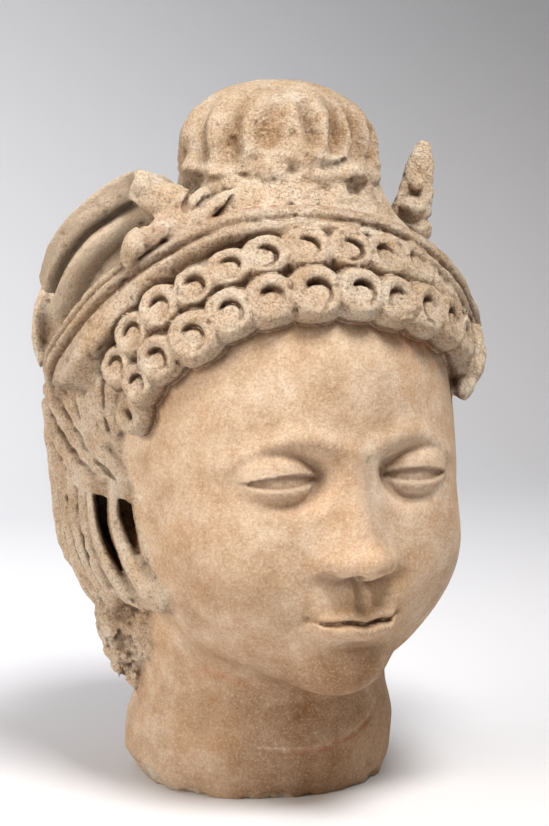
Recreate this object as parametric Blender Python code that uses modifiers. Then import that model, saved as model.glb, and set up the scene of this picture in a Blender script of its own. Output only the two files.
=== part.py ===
"""Over-life-size head of a bodhisattva in lime stucco: one solid.

Lumps of stucco (skull, face, hair, curls, headband, topknot, loop and leaf of the
headdress, ears) are laid on as simple solids, made one skin, and the skin is then
carved to the finished form, which is written below as functions of position.
Millimetres in the form, metres in the scene. The origin is the middle of the flat
underside of the neck, +Z is up and the face looks along -Y.
"""
import math

import bmesh
import bpy
import numpy as np
from mathutils import Matrix, Vector

SKIN = 3.0          # edge of the skin's facets before they are thinned out, mm
FACETS = 9600       # facets left on the solid
DETAIL = 0.35       # share of the small unevenness that the solid keeps

def smin(a, b, k):
    h = np.clip(0.5 + 0.5 * (b - a) / k, 0.0, 1.0)
    return b + (a - b) * h - k * h * (1.0 - h)
def smax(a, b, k):
    return -smin(-a, -b, k)
def rot_x(t):
    c, s = np.cos(np.radians(t)), np.sin(np.radians(t)); return np.array([[1,0,0],[0,c,-s],[0,s,c]])
def rot_y(t):
    c, s = np.cos(np.radians(t)), np.sin(np.radians(t)); return np.array([[c,0,s],[0,1,0],[-s,0,c]])
def rot_z(t):
    c, s = np.cos(np.radians(t)), np.sin(np.radians(t)); return np.array([[c,-s,0],[s,c,0],[0,0,1]])
def ell(p, c, r, R=None):
    q = p - np.asarray(c, float)
    if R is not None:
        q = q @ R
    r = np.asarray(r, float)
    k0 = np.sqrt(((q / r) ** 2).sum(1)) + 1e-9
    k1 = np.sqrt(((q / (r * r)) ** 2).sum(1)) + 1e-9
    return k0 * (k0 - 1.0) / k1
def step(x, a, b):
    t = np.clip((x - a) / (b - a), 0, 1)
    return t * t * (3 - 2 * t)
def bump(x, c, w):
    return np.exp(-((x - c) / w) ** 2)

CHIN_Z, UNIT = 93.0, 94.7
NOSE_Z = CHIN_Z + UNIT
BROW_Z = CHIN_Z + 2 * UNIT
HAIR_Z = CHIN_Z + 3 * UNIT
EYE_Z = CHIN_Z + 1.75 * UNIT
MOUTH_Z = CHIN_Z + 0.66 * UNIT
FACE_HALF = 132.0
EYE_W = 2 * FACE_HALF / 5.0
EYE_X = EYE_W

def head_mass(p):
    q = p.copy(); q[:, 0] = np.abs(q[:, 0])
    f = ell(q, (0, -28, 305), (134, 158, 146))
    f = smin(f, ell(q, (0, -72, 232), (126, 116, 122)), 30)
    f = smin(f, ell(q, (0, -92, 175), (104, 90, 84)), 30)
    f = smin(f, ell(q, (50, -120, 200), (56, 58, 52)), 26)
    f = smin(f, ell(q, (0, -150, 122), (37, 37, 30)), 24)
    f = smin(f, ell(q, (0, -146, 164), (46, 42, 36)), 20)
    t = np.clip(q[:, 2] / 130.0, -0.2, 1.3)
    cy = -24.0 * np.clip(t, 0, 1.3)
    rad = 94.5 + 9.0 * step(-q[:, 2], -84.0, -42.0) - 3.0 * np.clip(1 - q[:, 2] / 18.0, 0, 1)
    n = np.sqrt((q[:, 0] / 1.03) ** 2 + (q[:, 1] - cy) ** 2) - rad
    n = smax(n, q[:, 2] - 190.0, 10.0)
    n = smax(n, -30.0 - q[:, 2], 2.0)
    return smin(f, n, 16)

def lips(x, z):
    """Relief of the mouth in front of the face, from its three border lines."""
    half = 36.0
    u = np.clip(x / half, 0, 1)
    M = MOUTH_Z
    line = M - 1.0 - 0.8 * bump(x, 0, 5) + 1.1 * bump(x, 12, 7) - 0.4 * bump(x, 24, 6) + 2.6 * step(u, 0.72, 1.0)
    top = line + (11.0 - 1.8 * bump(x, 0, 4.2)) * np.clip(1 - u ** 2.0, 0, 1) ** 0.85 + 0.6
    low = line - 14.5 * np.clip(1 - u ** 2.4, 0, 1) ** 0.66 - 0.4
    inside = np.clip(1 - (x / half) ** 5, 0, 1)
    t = (z - line) / np.maximum(top - line, 1.0)
    b = (line - z) / np.maximum(line - low, 1.0)
    upper = np.where((t >= 0) & (t < 1), (1 - np.clip(t, 0, 1) ** 1.6) ** 0.6, 0.0) * 7.4 * np.clip(1 - u ** 3, 0, 1) ** 0.6
    lower = np.where((b > 0) & (b < 1), np.clip(1 - (2 * np.clip(b, 0, 1) - 0.84) ** 2 / 1.35, 0, 1) ** 0.8, 0.0) * 9.8 * np.clip(1 - u ** 2.4, 0, 1) ** 0.6
    gap = np.exp(-((z - line) / 2.2) ** 2) * (6.0 * np.clip(1 - (x / (half + 4)) ** 6, 0, 1)) * 1.0
    # soft arch of the mouth, dip under the lip, groove of the philtrum
    soft = 4.0 * np.exp(-(x / 30) ** 2 - ((z - M) / 20) ** 2)
    under = -6.0 * np.exp(-(x / 20) ** 2 - ((z - (M - 21)) / 6.0) ** 2)
    phil = -1.9 * np.exp(-(x / 3.6) ** 2) * step(z, M + 9, M + 13) * (1 - step(z, NOSE_Z - 10, NOSE_Z))
    edge = 1.0 * np.exp(-((x - 7.2) / 2.6) ** 2) * step(z, M + 8, M + 12) * (1 - step(z, NOSE_Z - 12, NOSE_Z - 2))
    corner = -2.2 * np.exp(-((x - half - 2.5) / 6.0) ** 2 - ((z - (M + 1.0)) / 8.0) ** 2)
    return (upper + lower) * inside - gap + soft + under + phil + edge + corner

def head_sdf(p):
    q = p.copy(); q[:, 0] = np.abs(q[:, 0])
    f = head_mass(p)
    y, z = q[:, 1], q[:, 2]
    near = (y < -80) & (z > 85) & (z < 345)
    if not near.any():
        return f
    s = q[near]; g = f[near]
    x, y, z = s[:, 0], s[:, 1], s[:, 2]
    ex = EYE_X
    front = step(-y, 110, 140)
    # ---- brow roll and eye hollow
    bt = np.clip((x - 8) / 84.0, 0, 1)
    brow = BROW_Z - 11 + 15.0 * np.sin(np.pi * np.clip(bt * 0.93 + 0.08, 0, 1)) ** 1.0 - 8.0 * bt ** 2.5
    d = z - brow
    inb = 0.35 + 0.65 * step(x, 0, 14)
    inb = inb * (1 - step(x, 84, 104))
    g = g - front * inb * 3.4 * np.exp(-((d - 3.5) / 8.0) ** 2)
    sock = ell(s, (ex - 1.0, -203, EYE_Z - 2.0), (43.0, 37, 29.0), rot_z(17) @ rot_y(-3))
    g = smax(g, -sock, 6.0)
    # deeper pocket at the inner corner
    g = smax(g, -ell(s, (27.5, -190, EYE_Z), (10.5, 20, 12), rot_z(8)), 9.0)
    # ---- nose
    t = np.clip((BROW_Z - 6 - z) / (BROW_Z - 6 - (NOSE_Z + 13)), 0, 1)
    ridge = -189.5 - 30.0 * t ** 1.1 + 0.55 * np.clip(z - (BROW_Z - 6), 0, 60)
    slope = 1.62 - 0.40 * t
    rr = 9.5 + 1.0 * t
    w = (ridge + slope * (np.sqrt(x * x + rr * rr) - rr) - y) / np.sqrt(1 + slope * slope)
    w = smax(w, (NOSE_Z + 5.5 - 0.12 * (y + 200)) - z, 5.0)
    w = smax(w, x - 42.0, 6.0)
    g = smin(g, w, 9.0)
    g = smin(g, ell(s, (0, -209.5, NOSE_Z + 14.5), (12.5, 14.0, 11.5)), 8.0)
    g = smin(g, ell(s, (15.5, -196.5, NOSE_Z + 11.0), (9.5, 15.5, 10.0), rot_z(-14) @ rot_x(-10)), 4.0)
    g = smin(g, ell(s, (0, -201, NOSE_Z + 4.0), (4.6, 14, 5.5), rot_x(-12)), 4.0)
    g = smax(g, -ell(s, (9.4, -201, NOSE_Z + 1.5), (4.3, 9.0, 5.2), rot_z(-18)), 2.0)
    # ---- eyeball and lids
    E = rot_z(15)
    cy = -150.0
    R = np.array([31.5, 28.5, 27.5])
    ball = ell(s, (ex, cy, EYE_Z - 1), R, E)
    dx = (x - ex) / 26.5
    arch = np.clip(1 - dx * dx, 0, 1)
    up_edge = EYE_Z - 0.5 + 4.4 * arch - 1.0 * dx - 2.0 * np.clip(-dx - 0.75, 0, 1)
    lo_edge = EYE_Z - 2.2 - 4.8 * arch ** 0.8 - 1.0 * dx - 2.0 * np.clip(-dx - 0.75, 0, 1)
    upper = ell(s, (ex, cy, EYE_Z - 0.5), R + np.array([3.0, 3.6, 2.0]), E)
    upper = smax(upper, up_edge - z, 0.9)
    lower = ell(s, (ex, cy, EYE_Z - 2.0), R + np.array([2.4, 2.6, 1.0]), E)
    lower = smax(lower, z - lo_edge, 0.9)
    # the pouch of the lower lid runs softly into the cheek
    g = smin(g, ball, 1.2)
    g = smin(g, upper, 1.6)
    g = smin(g, lower, 2.5)
    # ---- mouth relief
    g = g - front * lips(x, z) * (1 - step(z, NOSE_Z - 4, NOSE_Z + 6))
    f = f.copy(); f[near] = g
    return f

# ---------------------------------------------------------------- places on the head
AX, AY, AZ = 0.0, -28.0, 305.0          # centre of the skull, from which places on the head are given

def solve_on(dirs, off, origin=(AX, AY, AZ), far=320.0):
    """Where rays from the centre of the skull leave the head's mass grown by off."""
    o = np.asarray(origin, float)
    d = dirs / np.linalg.norm(dirs, axis=1, keepdims=True)
    off = np.broadcast_to(np.asarray(off, float), (len(d),))
    lo = np.full(len(d), 20.0); hi = np.full(len(d), far)
    for _ in range(32):
        mid = 0.5 * (lo + hi)
        inside = head_mass(o + d * mid[:, None]) < off
        lo = np.where(inside, mid, lo); hi = np.where(inside, hi, mid)
    return o + d * (0.5 * (lo + hi))[:, None]

def solve_front(x, z, off):
    """The point of the head's front, grown by off, that has this x and z."""
    x = np.atleast_1d(np.asarray(x, float)); z = np.atleast_1d(np.asarray(z, float))
    lo = np.full(len(x), AY - 6.0); hi = np.full(len(x), -260.0)
    for _ in range(32):
        mid = 0.5 * (lo + hi)
        inside = head_mass(np.stack([x, mid, z], 1)) < off
        lo = np.where(inside, mid, lo); hi = np.where(inside, hi, mid)
    return np.stack([x, 0.5 * (lo + hi), z], 1)

def grad(f, p, e=0.6):
    g = np.empty_like(p)
    for i in range(3):
        d = np.zeros(3); d[i] = e
        g[:, i] = f(p + d) - f(p - d)
    return g / (np.linalg.norm(g, axis=1, keepdims=True) + 1e-12)

def unit(v):
    v = np.asarray(v, float)
    return v / (np.linalg.norm(v, axis=-1, keepdims=True) + 1e-12)

def hair_off(theta):
    """Thickness of the hair over the skull: thin over the brow, thick behind the ears."""
    a = np.abs(theta)
    return 8.0 + 20.0 * step(a, 58.0, 112.0) - 6.0 * step(a, 135.0, 175.0)

def band_off(theta):
    a = np.abs(theta)
    return 21.0 + 13.0 * step(a, 60.0, 100.0) - 12.5 * step(a, 90.0, 110.0)

def sphere_dir(theta, phi):
    t, f = np.radians(theta), np.radians(phi)
    return np.stack([np.sin(t) * np.cos(f), -np.cos(t) * np.cos(f), np.sin(f)], -1)

def theta_phi(p):
    q = p - np.array([AX, AY, AZ])
    return np.degrees(np.arctan2(q[:, 0], -q[:, 1])), np.degrees(np.arctan2(q[:, 2], np.hypot(q[:, 0], q[:, 1])))

def spline(pts, n):
    """n points along a smooth curve through the given stations (Catmull-Rom), evenly by length."""
    P = np.asarray(pts, float)
    E = np.vstack([2 * P[0] - P[1], P, 2 * P[-1] - P[-2]])
    out = []
    for i in range(len(P) - 1):
        t = np.linspace(0, 1, 24, endpoint=False)[:, None]
        a, b, c, d = E[i], E[i + 1], E[i + 2], E[i + 3]
        out.append(0.5 * ((2 * b) + (c - a) * t + (2 * a - 5 * b + 4 * c - d) * t * t + (3 * b - a - 3 * c + d) * t ** 3))
    out = np.vstack(out + [P[-1:]])
    s = np.concatenate([[0], np.cumsum(np.linalg.norm(np.diff(out[:, :3], axis=0), axis=1))])
    q = np.linspace(0, s[-1], n)
    return np.stack([np.interp(q, s, out[:, k]) for k in range(out.shape[1])], 1)

def table(*pts, n=160):
    """A smooth profile through the stations, as a lookup table."""
    c = spline(pts, n)
    order = np.argsort(c[:, 0])
    return c[order, 0], c[order, 1]

# how high over the skull's centre the headband's bead runs, in degrees, for each direction round the head
BAND_LINE = table((-180, 0), (-150, -2), (-120, 2), (-104, 4), (-95, 9.5), (-88, 16.5), (-80, 27.5), (-72, 36.2), (-65, 41.7), (-57, 46.4),
                  (-47, 50.4), (-35, 53.2), (-18, 53.9), (0, 52.9), (16, 50.2), (28, 46.6), (38, 42.0), (46, 37.2), (56, 30.5),
                  (70, 21.5), (88, 12), (118, 3), (150, -2), (180, 0), n=400)
def band_phi(theta):
    return np.interp(theta, *BAND_LINE)

class Path:
    """A swept path with a frame (tangent, side, face normal) at each station."""
    def __init__(s, pts, face, closed=False):
        s.P = np.asarray(pts, float)[:, :3]
        s.closed = closed
        T = np.gradient(s.P, axis=0) if not closed else np.roll(s.P, -1, 0) - np.roll(s.P, 1, 0)
        s.T = unit(T)
        F = np.broadcast_to(np.asarray(face, float), s.P.shape)
        F = F - (F * s.T).sum(1, keepdims=True) * s.T
        s.N = unit(F)
        s.S = np.cross(s.N, s.T)
        d = np.linalg.norm(np.diff(s.P, axis=0), axis=1)
        s.L = np.concatenate([[0], np.cumsum(d)])
    def coords(s, p):
        """Length along the path, sideways and outward distance, and overrun past either end."""
        best = np.empty(len(p), int)
        for i in range(0, len(p), 20000):
            q = p[i:i + 20000]
            d = (q * q).sum(1)[:, None] - 2 * q @ s.P.T + (s.P * s.P).sum(1)[None]
            best[i:i + 20000] = d.argmin(1)
        # foot of the point on the stretch before and the stretch after the nearest station
        n = len(s.P)
        L, gap = None, None
        for k in (np.clip(best - 1, 0, n - 2), np.clip(best, 0, n - 2)):
            e = s.P[k + 1] - s.P[k]
            t = ((p - s.P[k]) * e).sum(1) / (e * e).sum(1)
            tc = np.clip(t, 0, 1)
            g = ((p - s.P[k] - tc[:, None] * e) ** 2).sum(1)
            Lk = s.L[k] + tc * (s.L[k + 1] - s.L[k])
            L, gap = (Lk, g) if L is None else (np.where(g < gap, Lk, L), np.minimum(g, gap))
        P = np.stack([np.interp(L, s.L, s.P[:, k]) for k in range(3)], 1)
        N = unit(np.stack([np.interp(L, s.L, s.N[:, k]) for k in range(3)], 1))
        S = unit(np.stack([np.interp(L, s.L, s.S[:, k]) for k in range(3)], 1))
        T = unit(np.stack([np.interp(L, s.L, s.T[:, k]) for k in range(3)], 1))
        d = p - P
        end = (L <= 0) | (L >= s.L[-1])
        over = np.abs((d * T).sum(1)) * end
        return L, (d * S).sum(1), (d * N).sum(1), over

def tube(p, path, radius, flat=1.0):
    """A tube with the radius given at each station; flat squeezes it across its face."""
    L, a, h, over = path.coords(p)
    r = np.interp(L, path.L, np.broadcast_to(radius, (len(path.L),)))
    return np.sqrt(a * a + (h / flat) ** 2 + over * over) - r

def poly(u, *pts):
    return np.interp(u, [q[0] for q in pts], [q[1] for q in pts])

def hash_noise(p, size, seed=0):
    """Smooth value noise in [-1, 1], the same every time."""
    q = p / size + seed * 17.31
    i = np.floor(q).astype(np.int64); f = q - i
    f = f * f * (3 - 2 * f)
    r = 0
    for dx in (0, 1):
        for dy in (0, 1):
            for dz in (0, 1):
                h = (i[:, 0] + dx) * 374761393 + (i[:, 1] + dy) * 668265263 + (i[:, 2] + dz) * 2147483647 + seed * 974711
                h = (h ^ (h >> 13)) * 1274126177
                h = (h ^ (h >> 16)) & 0xFFFFFF
                v = h / float(0xFFFFFF) * 2 - 1
                w = (f[:, 0] if dx else 1 - f[:, 0]) * (f[:, 1] if dy else 1 - f[:, 1]) * (f[:, 2] if dz else 1 - f[:, 2])
                r = r + v * w
    return r * DETAIL

def fbm(p, size, seed=0, octaves=3):
    a, s, out = 1.0, size, 0
    for k in range(octaves):
        out = out + a * hash_noise(p, s, seed + k); a *= 0.5; s *= 0.5
    return out / 1.75

# ---------------------------------------------------------------- curls: two rows over the brow
# x and z of each curl's middle, from the head's right temple to its left
LOW_ROW = [(-145, 302), (-139, 325), (-129, 344), (-110, 361), (-87, 379), (-60, 389), (-28, 394), (6, 393), (37, 386), (67, 378), (95, 367), (118, 352), (132, 334)]
TOP_ROW = [(-147, 336), (-138, 360), (-123, 380), (-103, 396), (-80, 410), (-55, 419), (-25, 425), (8, 423), (37, 417), (68, 410), (96, 396), (118, 382), (133, 363), (142, 343)]

# the ring of a curl: height against distance from its middle
RING_X, RING_H = table((0, 9.2), (0.2, 9.4), (0.4, 10.2), (0.6, 11.4), (0.74, 11.8), (0.88, 10.4), (1.0, 7.2), (1.2, 0.0), (1.5, -12))

def row_curls():
    out = []
    for k, row in enumerate((LOW_ROW, TOP_ROW)):
        x, z = np.array(row, float).T
        P = solve_front(x, z, 20.0 + 2.5 * k)
        gap = np.linalg.norm(np.diff(P, axis=0), axis=1)
        gap = 0.5 * (np.append(gap, gap[-1]) + np.append(gap[0], gap))
        for i in range(len(P)):
            u = unit(P[min(i + 1, len(P) - 1)] - P[max(i - 1, 0)])
            nrm = unit(grad(head_mass, P[i][None])[0] - np.array([0, 0, 0.20]))
            nrm = unit(nrm - (nrm @ u) * u)
            v = np.cross(nrm, u)
            if v[2] < 0:
                v = -v
            side = -1 if P[i][0] < 8.5 else 1
            out.append(dict(c=P[i] - 9.0 * nrm, u=u, v=v, n=nrm, r=float(np.clip(0.59 * gap[i], 14.0, 20.0)), row=k, i=i - 7, side=side))
    return out

def curl(p, C, seed):
    """A snail curl: a drum of hair with a thick rolled rim, wound in to a small knob behind a deep crescent."""
    q = p - C["c"]
    a, b, w = q @ C["u"], q @ C["v"], q @ C["n"]
    a = a * -C["side"]          # the far side's curls are mirrored
    rng = np.random.RandomState(seed)
    tilt = rng.uniform(-24, 20); deep = rng.uniform(0.8, 1.15); wide = rng.uniform(0.82, 1.15)
    sx, sy = rng.uniform(0.96, 1.05), rng.uniform(0.95, 1.04)
    under = rng.uniform(0.0, 1.0) ** 1.5; lift = rng.uniform(-0.8, 1.6)
    ct, st = np.cos(np.radians(tilt)), np.sin(np.radians(tilt))
    worn = 0.20 * (C["side"] > 0) + 0.55 * (step(C["i"], 1.0, 6.0) if C["side"] > 0 else 0.0)
    low_end = 1.0 * (C["row"] == 0 and C["i"] <= -7)       # the lowest curl by the temple has only a slit left
    rr = C["r"]
    # the outline is a little squared where the curls press on each other
    a, b = a / sx, b / sy
    rho = (np.abs(a) ** 3.1 + np.abs(b) ** 3.1) ** (1 / 3.1)
    rnd = np.hypot(a, b)
    a, b = a * ct - b * st, a * st + b * ct
    ang = np.degrees(np.arctan2(b, a))
    # the face: a thick ring, highest two thirds of the way out
    top = np.interp(rnd / rr, RING_X, RING_H) + 0.9 * hash_noise(p, 8.0, 91) + 0.45 * hash_noise(p, 3.7, 92)
    # the hollow winds from the left over the knob and down its right side, and on under it on some curls
    turn = (158.0 - ang) % 360.0                               # 0 at the upper left, clockwise
    gr = (0.41 + 0.10 * np.clip(turn / 230.0, 0, 1.3)) * rr
    rk = np.hypot(a + 0.03 * rr, b + 0.11 * rr)
    g_deep = np.interp(turn, (0, 22, 60, 105, 145, 190, 240, 290, 330, 360), (0.9, 3.2, 7.4, 8.6, 6.0, 3.0 + 1.6 * under, 1.4 + 1.8 * under, 0.6 + 0.8 * under, 0.1, 0.9))
    g_half = np.interp(turn, (0, 30, 80, 130, 180, 240, 300, 360), (1.4, 1.6, 1.95, 1.9, 1.9, 2.3, 2.3, 1.5)) * wide * (rr / 20.0)
    groove = g_deep * deep * (1 - 0.55 * worn) * np.exp(-np.abs((rk - gr) / g_half) ** 1.9)
    tip = np.sqrt((a + 0.06 * rr + 0.25 * (b + 0.10 * rr)) ** 2 + ((b + 0.13 * rr) * 1.1) ** 2 + (0.08 * rr) ** 2)
    knob = (8.0 + lift) * np.clip(1.0 - tip / (0.48 * rr), 0, 1) ** 1.1
    if low_end:
        groove = 6.0 * np.exp(-np.abs((b + 1.0) / 6.0) ** 3 - np.abs((a - 0.3 * b) / 1.8) ** 2); knob = 0.0
        top = top - 4.5
    side_in = 0.09 * np.clip(-w - 3.0, 0, 14) - 0.05 * np.clip(w, 0, 10)
    d = smax(rho - rr + side_in, (w - top) * 0.9, 7.0)
    d = smax(d, (w - (top - groove + knob)) * 0.72, 0.8)
    return smax(d, -w - 31.0, 2.0)

def near_box(p, lo, hi, pad=14.0):
    return ((p > np.asarray(lo, float) - pad) & (p < np.asarray(hi, float) + pad)).all(1)

# ---------------------------------------------------------------- headband
def band_path():
    th = np.linspace(-180, 180, 361)
    d = sphere_dir(th, band_phi(th))
    P = solve_on(d, band_off(th))
    N = grad(head_mass, P)
    N = unit(N + np.array([0, -0.42, 0]) * step(-P[:, 1], 20, 90)[:, None])
    return Path(P, N, closed=False), th
BAND, BAND_TH = band_path()
# profile across the band: bead, groove, thin ridge, hollow strip down to the curls
BAND_X, BAND_H = table((-30, -20), (-25, -15), (-21, -7.5), (-18, -0.5), (-15.6, 4.8), (-13.4, 8.8), (-11.2, 10.6), (-9.0, 9.2), (-7.3, 5.4), (-5.6, 6.6), (-4.0, 10.6), (-1.6, 13.0), (1.4, 13.0), (4.0, 10.8), (5.8, 6.0), (6.8, 0), (8, -14))

# towards the ears: a thin roll over one broad, slightly swelling face
SIDE_X, SIDE_H = table((-36, -16), (-32, -6), (-28.5, 2.5), (-24, 7.0), (-17, 9.2), (-12.5, 9.6), (-9.4, 8.6), (-7.6, 6.2), (-6.2, 8.0), (-4.4, 13.0), (-2.6, 15.0), (-0.6, 13.6), (1.0, 11.0), (2.4, 12.6), (4.2, 15.6), (6.2, 15.0), (7.8, 11.6), (9.2, 5), (10.2, 0), (11.4, -14), n=240)

def headband(p):
    th, _ = theta_phi(p)
    L, a, h, over = BAND.coords(p)
    relief = 1.0 - 0.62 * step(np.abs(th), 119.0, 124.0)       # the back is plainer and lower
    w = step(np.abs(th), 54.0, 78.0)
    H = np.interp(a, BAND_X, BAND_H) * (1 - w) + np.interp(a, SIDE_X, SIDE_H) * w
    H = np.where(H > 0, H * relief, H)
    d = (h - H) * 0.72
    low = np.interp(np.abs(th), (44, 58, 66, 76, 88, 98), (-20, -22, -25, -31, -27, -13))
    d = np.maximum(d, np.maximum(low - a, a - 7.2 - 3.0 * w))
    d = smax(d, (low + 3.0 - a) * 0.9, 2.5)
    return smax(d, -h - 16.0 - 22.0 * step(np.abs(th), 95, 120), 2.0)

# ---------------------------------------------------------------- hair over the skull, above and below the band
def crown(p):
    th, ph = theta_phi(p)
    off = 17.0 + 0.30 * (hair_off(th) - 8.0)
    behind = step(np.abs(th), 98, 122)
    front = (1 - step(np.abs(th), 50, 80)) * (1 - step(ph - band_phi(th), 14, 34))
    off = off + 1.0 * behind + 8.0 * front + (1.4 + 1.2 * front) * fbm(p, 22.0, 3, 3)
    above = (band_phi(th) - ph) * 2.4 - 12.0 - 6.0 * behind
    return smax(head_mass(p) - off, above, 3.0)

def back_hair(p):
    th, ph = theta_phi(p)
    a = np.abs(th)
    z = p[:, 2]
    # combed locks falling from the band, parted by shallow furrows
    comb = th * 10.0 + 22.0 * np.sin(z / 46.0 + th / 40.0)
    lock = 3.4 * np.abs(np.cos(np.radians(comb))) ** 0.7 + 0.8 * fbm(p * np.array([1, 1, 0.3]), 9.0, 11, 2)
    t = np.clip((300 - z) / 210.0, 0, 1)
    off = (hair_off(th) - 9.0 + lock) * (1 - 0.92 * t ** 1.7)
    d = head_mass(p) - off
    d = smax(d, (ph - band_phi(th)) * 2.4 + 7.0, 3.0)
    front = 72.0 + 30.0 * step(-z, -300, -235)                 # runs back from the temple to behind the ear
    d = smax(d, (front - a) * 2.2, 6.0)
    low = 88.0 + 24.0 * step(a, 100, 150) + 4.0 * np.cos(np.radians(comb * 1.0)) + 4.0 * fbm(p, 18.0, 5, 2)
    return smax(d, low - z, 9.0)

# ---------------------------------------------------------------- topknot
KNOT = np.array([0.0, -46.0, 497.0]); KNOT_R, KNOT_RISE, KNOT_TILT = 79.0, 48.0, 5.0

# hollows between the swollen tresses: direction, height, half width, reach up and down, depth, lean
KNOT_HOLLOWS = [(-77, 3, 6.5, 38, 18, 9.0, -0.30), (-54.5, 4, 8.6, 42, 19, 13.0, 0.0), (-30.5, 11, 11.5, 36, 11, 12.0, 0.10), (-38, -5, 4.5, 10, 9, 4.5, 0.25), (-16, 14, 4.6, 12, 8, 7.5, 0.0), (-3.0, 14, 7.6, 26, 11, 13.0, -0.2),
                (13.5, 12, 7.4, 34, 15, 13.5, 0.3), (29.0, 8, 7.0, 34, 16, 11.5, 0.25), (46, 2, 6.5, 24, 11, 11.0, 0.3)]
KNOT_HOLLOWS += [(k, 4 + 3 * math.cos(k), 8.0, 36 + 4 * math.sin(3 * k), 17, 10.0, 0.0) for k in range(68, 262, 22)]
# swellings of the collar under them: direction, height, half width, half height, rise
KNOT_LUMPS = [(-28, -14, 15, 13, 3.5), (-66, -18, 12, 14, 3.0), (0, -20, 15, 10, 2.5), (26, -18, 12, 13, 6.0), (42, -24, 9, 11, 5.0), (-88, -22, 9, 16, 3.5)]

def knot_frame(p):
    q = (p - KNOT) @ rot_x(-KNOT_TILT).T
    return q, np.degrees(np.arctan2(q[:, 0], -q[:, 1]))

def knot_dug(ang, z):
    """How deep the hollows between the tresses are cut."""
    dug = np.zeros(len(z))
    for a0, z0, hw, up, down, deep, lean in KNOT_HOLLOWS:
        u = ((ang - a0 - lean * (z - z0) + 180.0) % 360.0 - 180.0) / hw
        v = np.where(z > z0, (z - z0) / up, (z - z0) / down)
        m = (np.abs(u) < 2.4) & (np.abs(v) < 1)
        if m.any():
            fade = np.where(v[m] > 0, (1 - v[m]) ** 1.15, (1 - v[m] ** 2) ** 0.7)
            dug[m] = np.maximum(dug[m], deep * np.exp(-np.abs(u[m] / (1.0 + 0.35 * np.clip(v[m], 0, 1))) ** 1.7) * fade)
    return dug

def topknot(p):
    q, ang = knot_frame(p)                                  # 0 to the front
    z = q[:, 2]
    rad = np.hypot(q[:, 0], q[:, 1]) + 1e-6
    ring = np.stack([q[:, 0] / rad * 60, q[:, 1] / rad * 60, z * 0.7], 1)
    swell = fbm(ring, 30.0, 47, 3)
    dome = ell(q, (0, 0, 0), (KNOT_R - 1.0, KNOT_R, KNOT_RISE))
    lump = np.exp(-((z + 17.0 - 6.0 * swell) / 13.0) ** 2)
    body = rad - (74.0 + (4.5 + 3.0 * swell) * lump + 3.0 * step(-z, 22, 40))
    body = smax(body, np.maximum(z - 8.0, -60.0 - z), 3.0)
    plinth = np.maximum((rad - 77.0 + (z + 19.0) * 0.60) * 0.86, np.maximum(z + 19.0, -54.0 - z)) + 9.0 * step(np.abs(ang + 8.0), 52, 76)
    plinth = plinth + 2.2 * np.clip(fbm(q, 15.0, 44, 4), -0.2, 1) + 3.5 * np.exp(-((ang - 1.0) / 4.0) ** 2 - ((z + 26.0) / 3.5) ** 2) + 3.5 * np.exp(-((ang - 22.0) / 4.0) ** 2 - ((z + 28.0) / 3.0) ** 2)
    d = smin(dome, body, 4.0)
    dug = knot_dug(ang, z)
    for a0, z0, hw, hh, rise in KNOT_LUMPS:
        u = ((ang - a0 + 180.0) % 360.0 - 180.0) / hw
        v = (z - z0) / hh
        m = (np.abs(u) < 2.4) & (np.abs(v) < 1)
        if m.any():
            d[m] -= rise * np.exp(-1.15 * u[m] ** 2) * (1 - v[m] ** 2) ** 1.3
    rough = np.clip(dug / 6.0, 0, 1)
    d = d + dug + rough * (1.5 * fbm(p, 7.0, 48, 3) + 0.6 * hash_noise(p, 3.2, 49))
    # the gathers of the collar and its worn, layered front
    fine = 0.5 - 0.5 * np.cos(np.radians(ang * 14.0 - 5.0 * z + 60 * swell))
    side = step(np.abs(ang + 23.0), 38, 66)
    low = step(-z, -6, 6)
    d = d + (0.5 + 2.4 * side) * fine * lump
    layers = 2.2 * np.exp(-((z + 29.0 - 4 * swell + 0.05 * ang) / 2.2) ** 2) + 1.5 * np.exp(-((z + 21.0 + 7 * swell) / 1.6) ** 2)
    d = d + low * layers * (1 - 0.5 * side)
    d = d + 4.5 * np.exp(-((ang + 15.5) / 4.2) ** 2 - ((z + 14.0) / 5.0) ** 2) + 2.5 * np.exp(-((ang + 24.0) / 6.0) ** 2 - ((z + 10.0) / 6.0) ** 2) * (0.6 + fbm(p, 5.0, 50, 2))
    worn = np.clip(fbm(q, 13.0, 41, 4) + 0.12, 0, 1)
    d = d + low * (worn * 5.5 + 0.9 * fbm(p, 6.0, 42, 3)) + 0.8 * fbm(p, 26.0, 43, 2)
    return smin(d, plinth, 1.5)

# ---------------------------------------------------------------- the loop of cloth on the near side
def on_band(theta, up=0.0, out=0.0):
    """Points beside the headband's centre line, given by their direction round the head."""
    k = (np.asarray(theta, float) + 180.0) % 360.0
    idx = np.arange(len(BAND.P))
    pick = lambda A: np.stack([np.interp(k, idx, A[:, j]) for j in range(3)], -1)
    return pick(BAND.P) + up * unit(pick(BAND.S)) + out * unit(pick(BAND.N))

LOOP_BASE = spline(on_band([-30, -39, -48, -58, -68, -79, -91, -104], 5.0, -5.0), 80)
LOOP_EDGE = spline([(-74, -66, 466), (-100, -66, 466), (-123, -63, 473), (-141, -50, 468), (-159, -35, 449), (-166, -17, 426), (-168, 6, 398), (-166, 30, 378)], 80)
LOOP_EDGE = LOOP_BASE + np.interp(np.linspace(0, 1, 80), (0, 0.3, 0.5, 0.6, 0.75, 1), (1.0, 1.0, 0.98, 0.93, 0.83, 0.78))[:, None] * (LOOP_EDGE - LOOP_BASE)
LOOP_EDGE[:, 0] -= 5.0 * np.interp(np.linspace(0, 1, 80), (0.45, 0.62, 0.9), (0, 1, 1))

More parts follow.
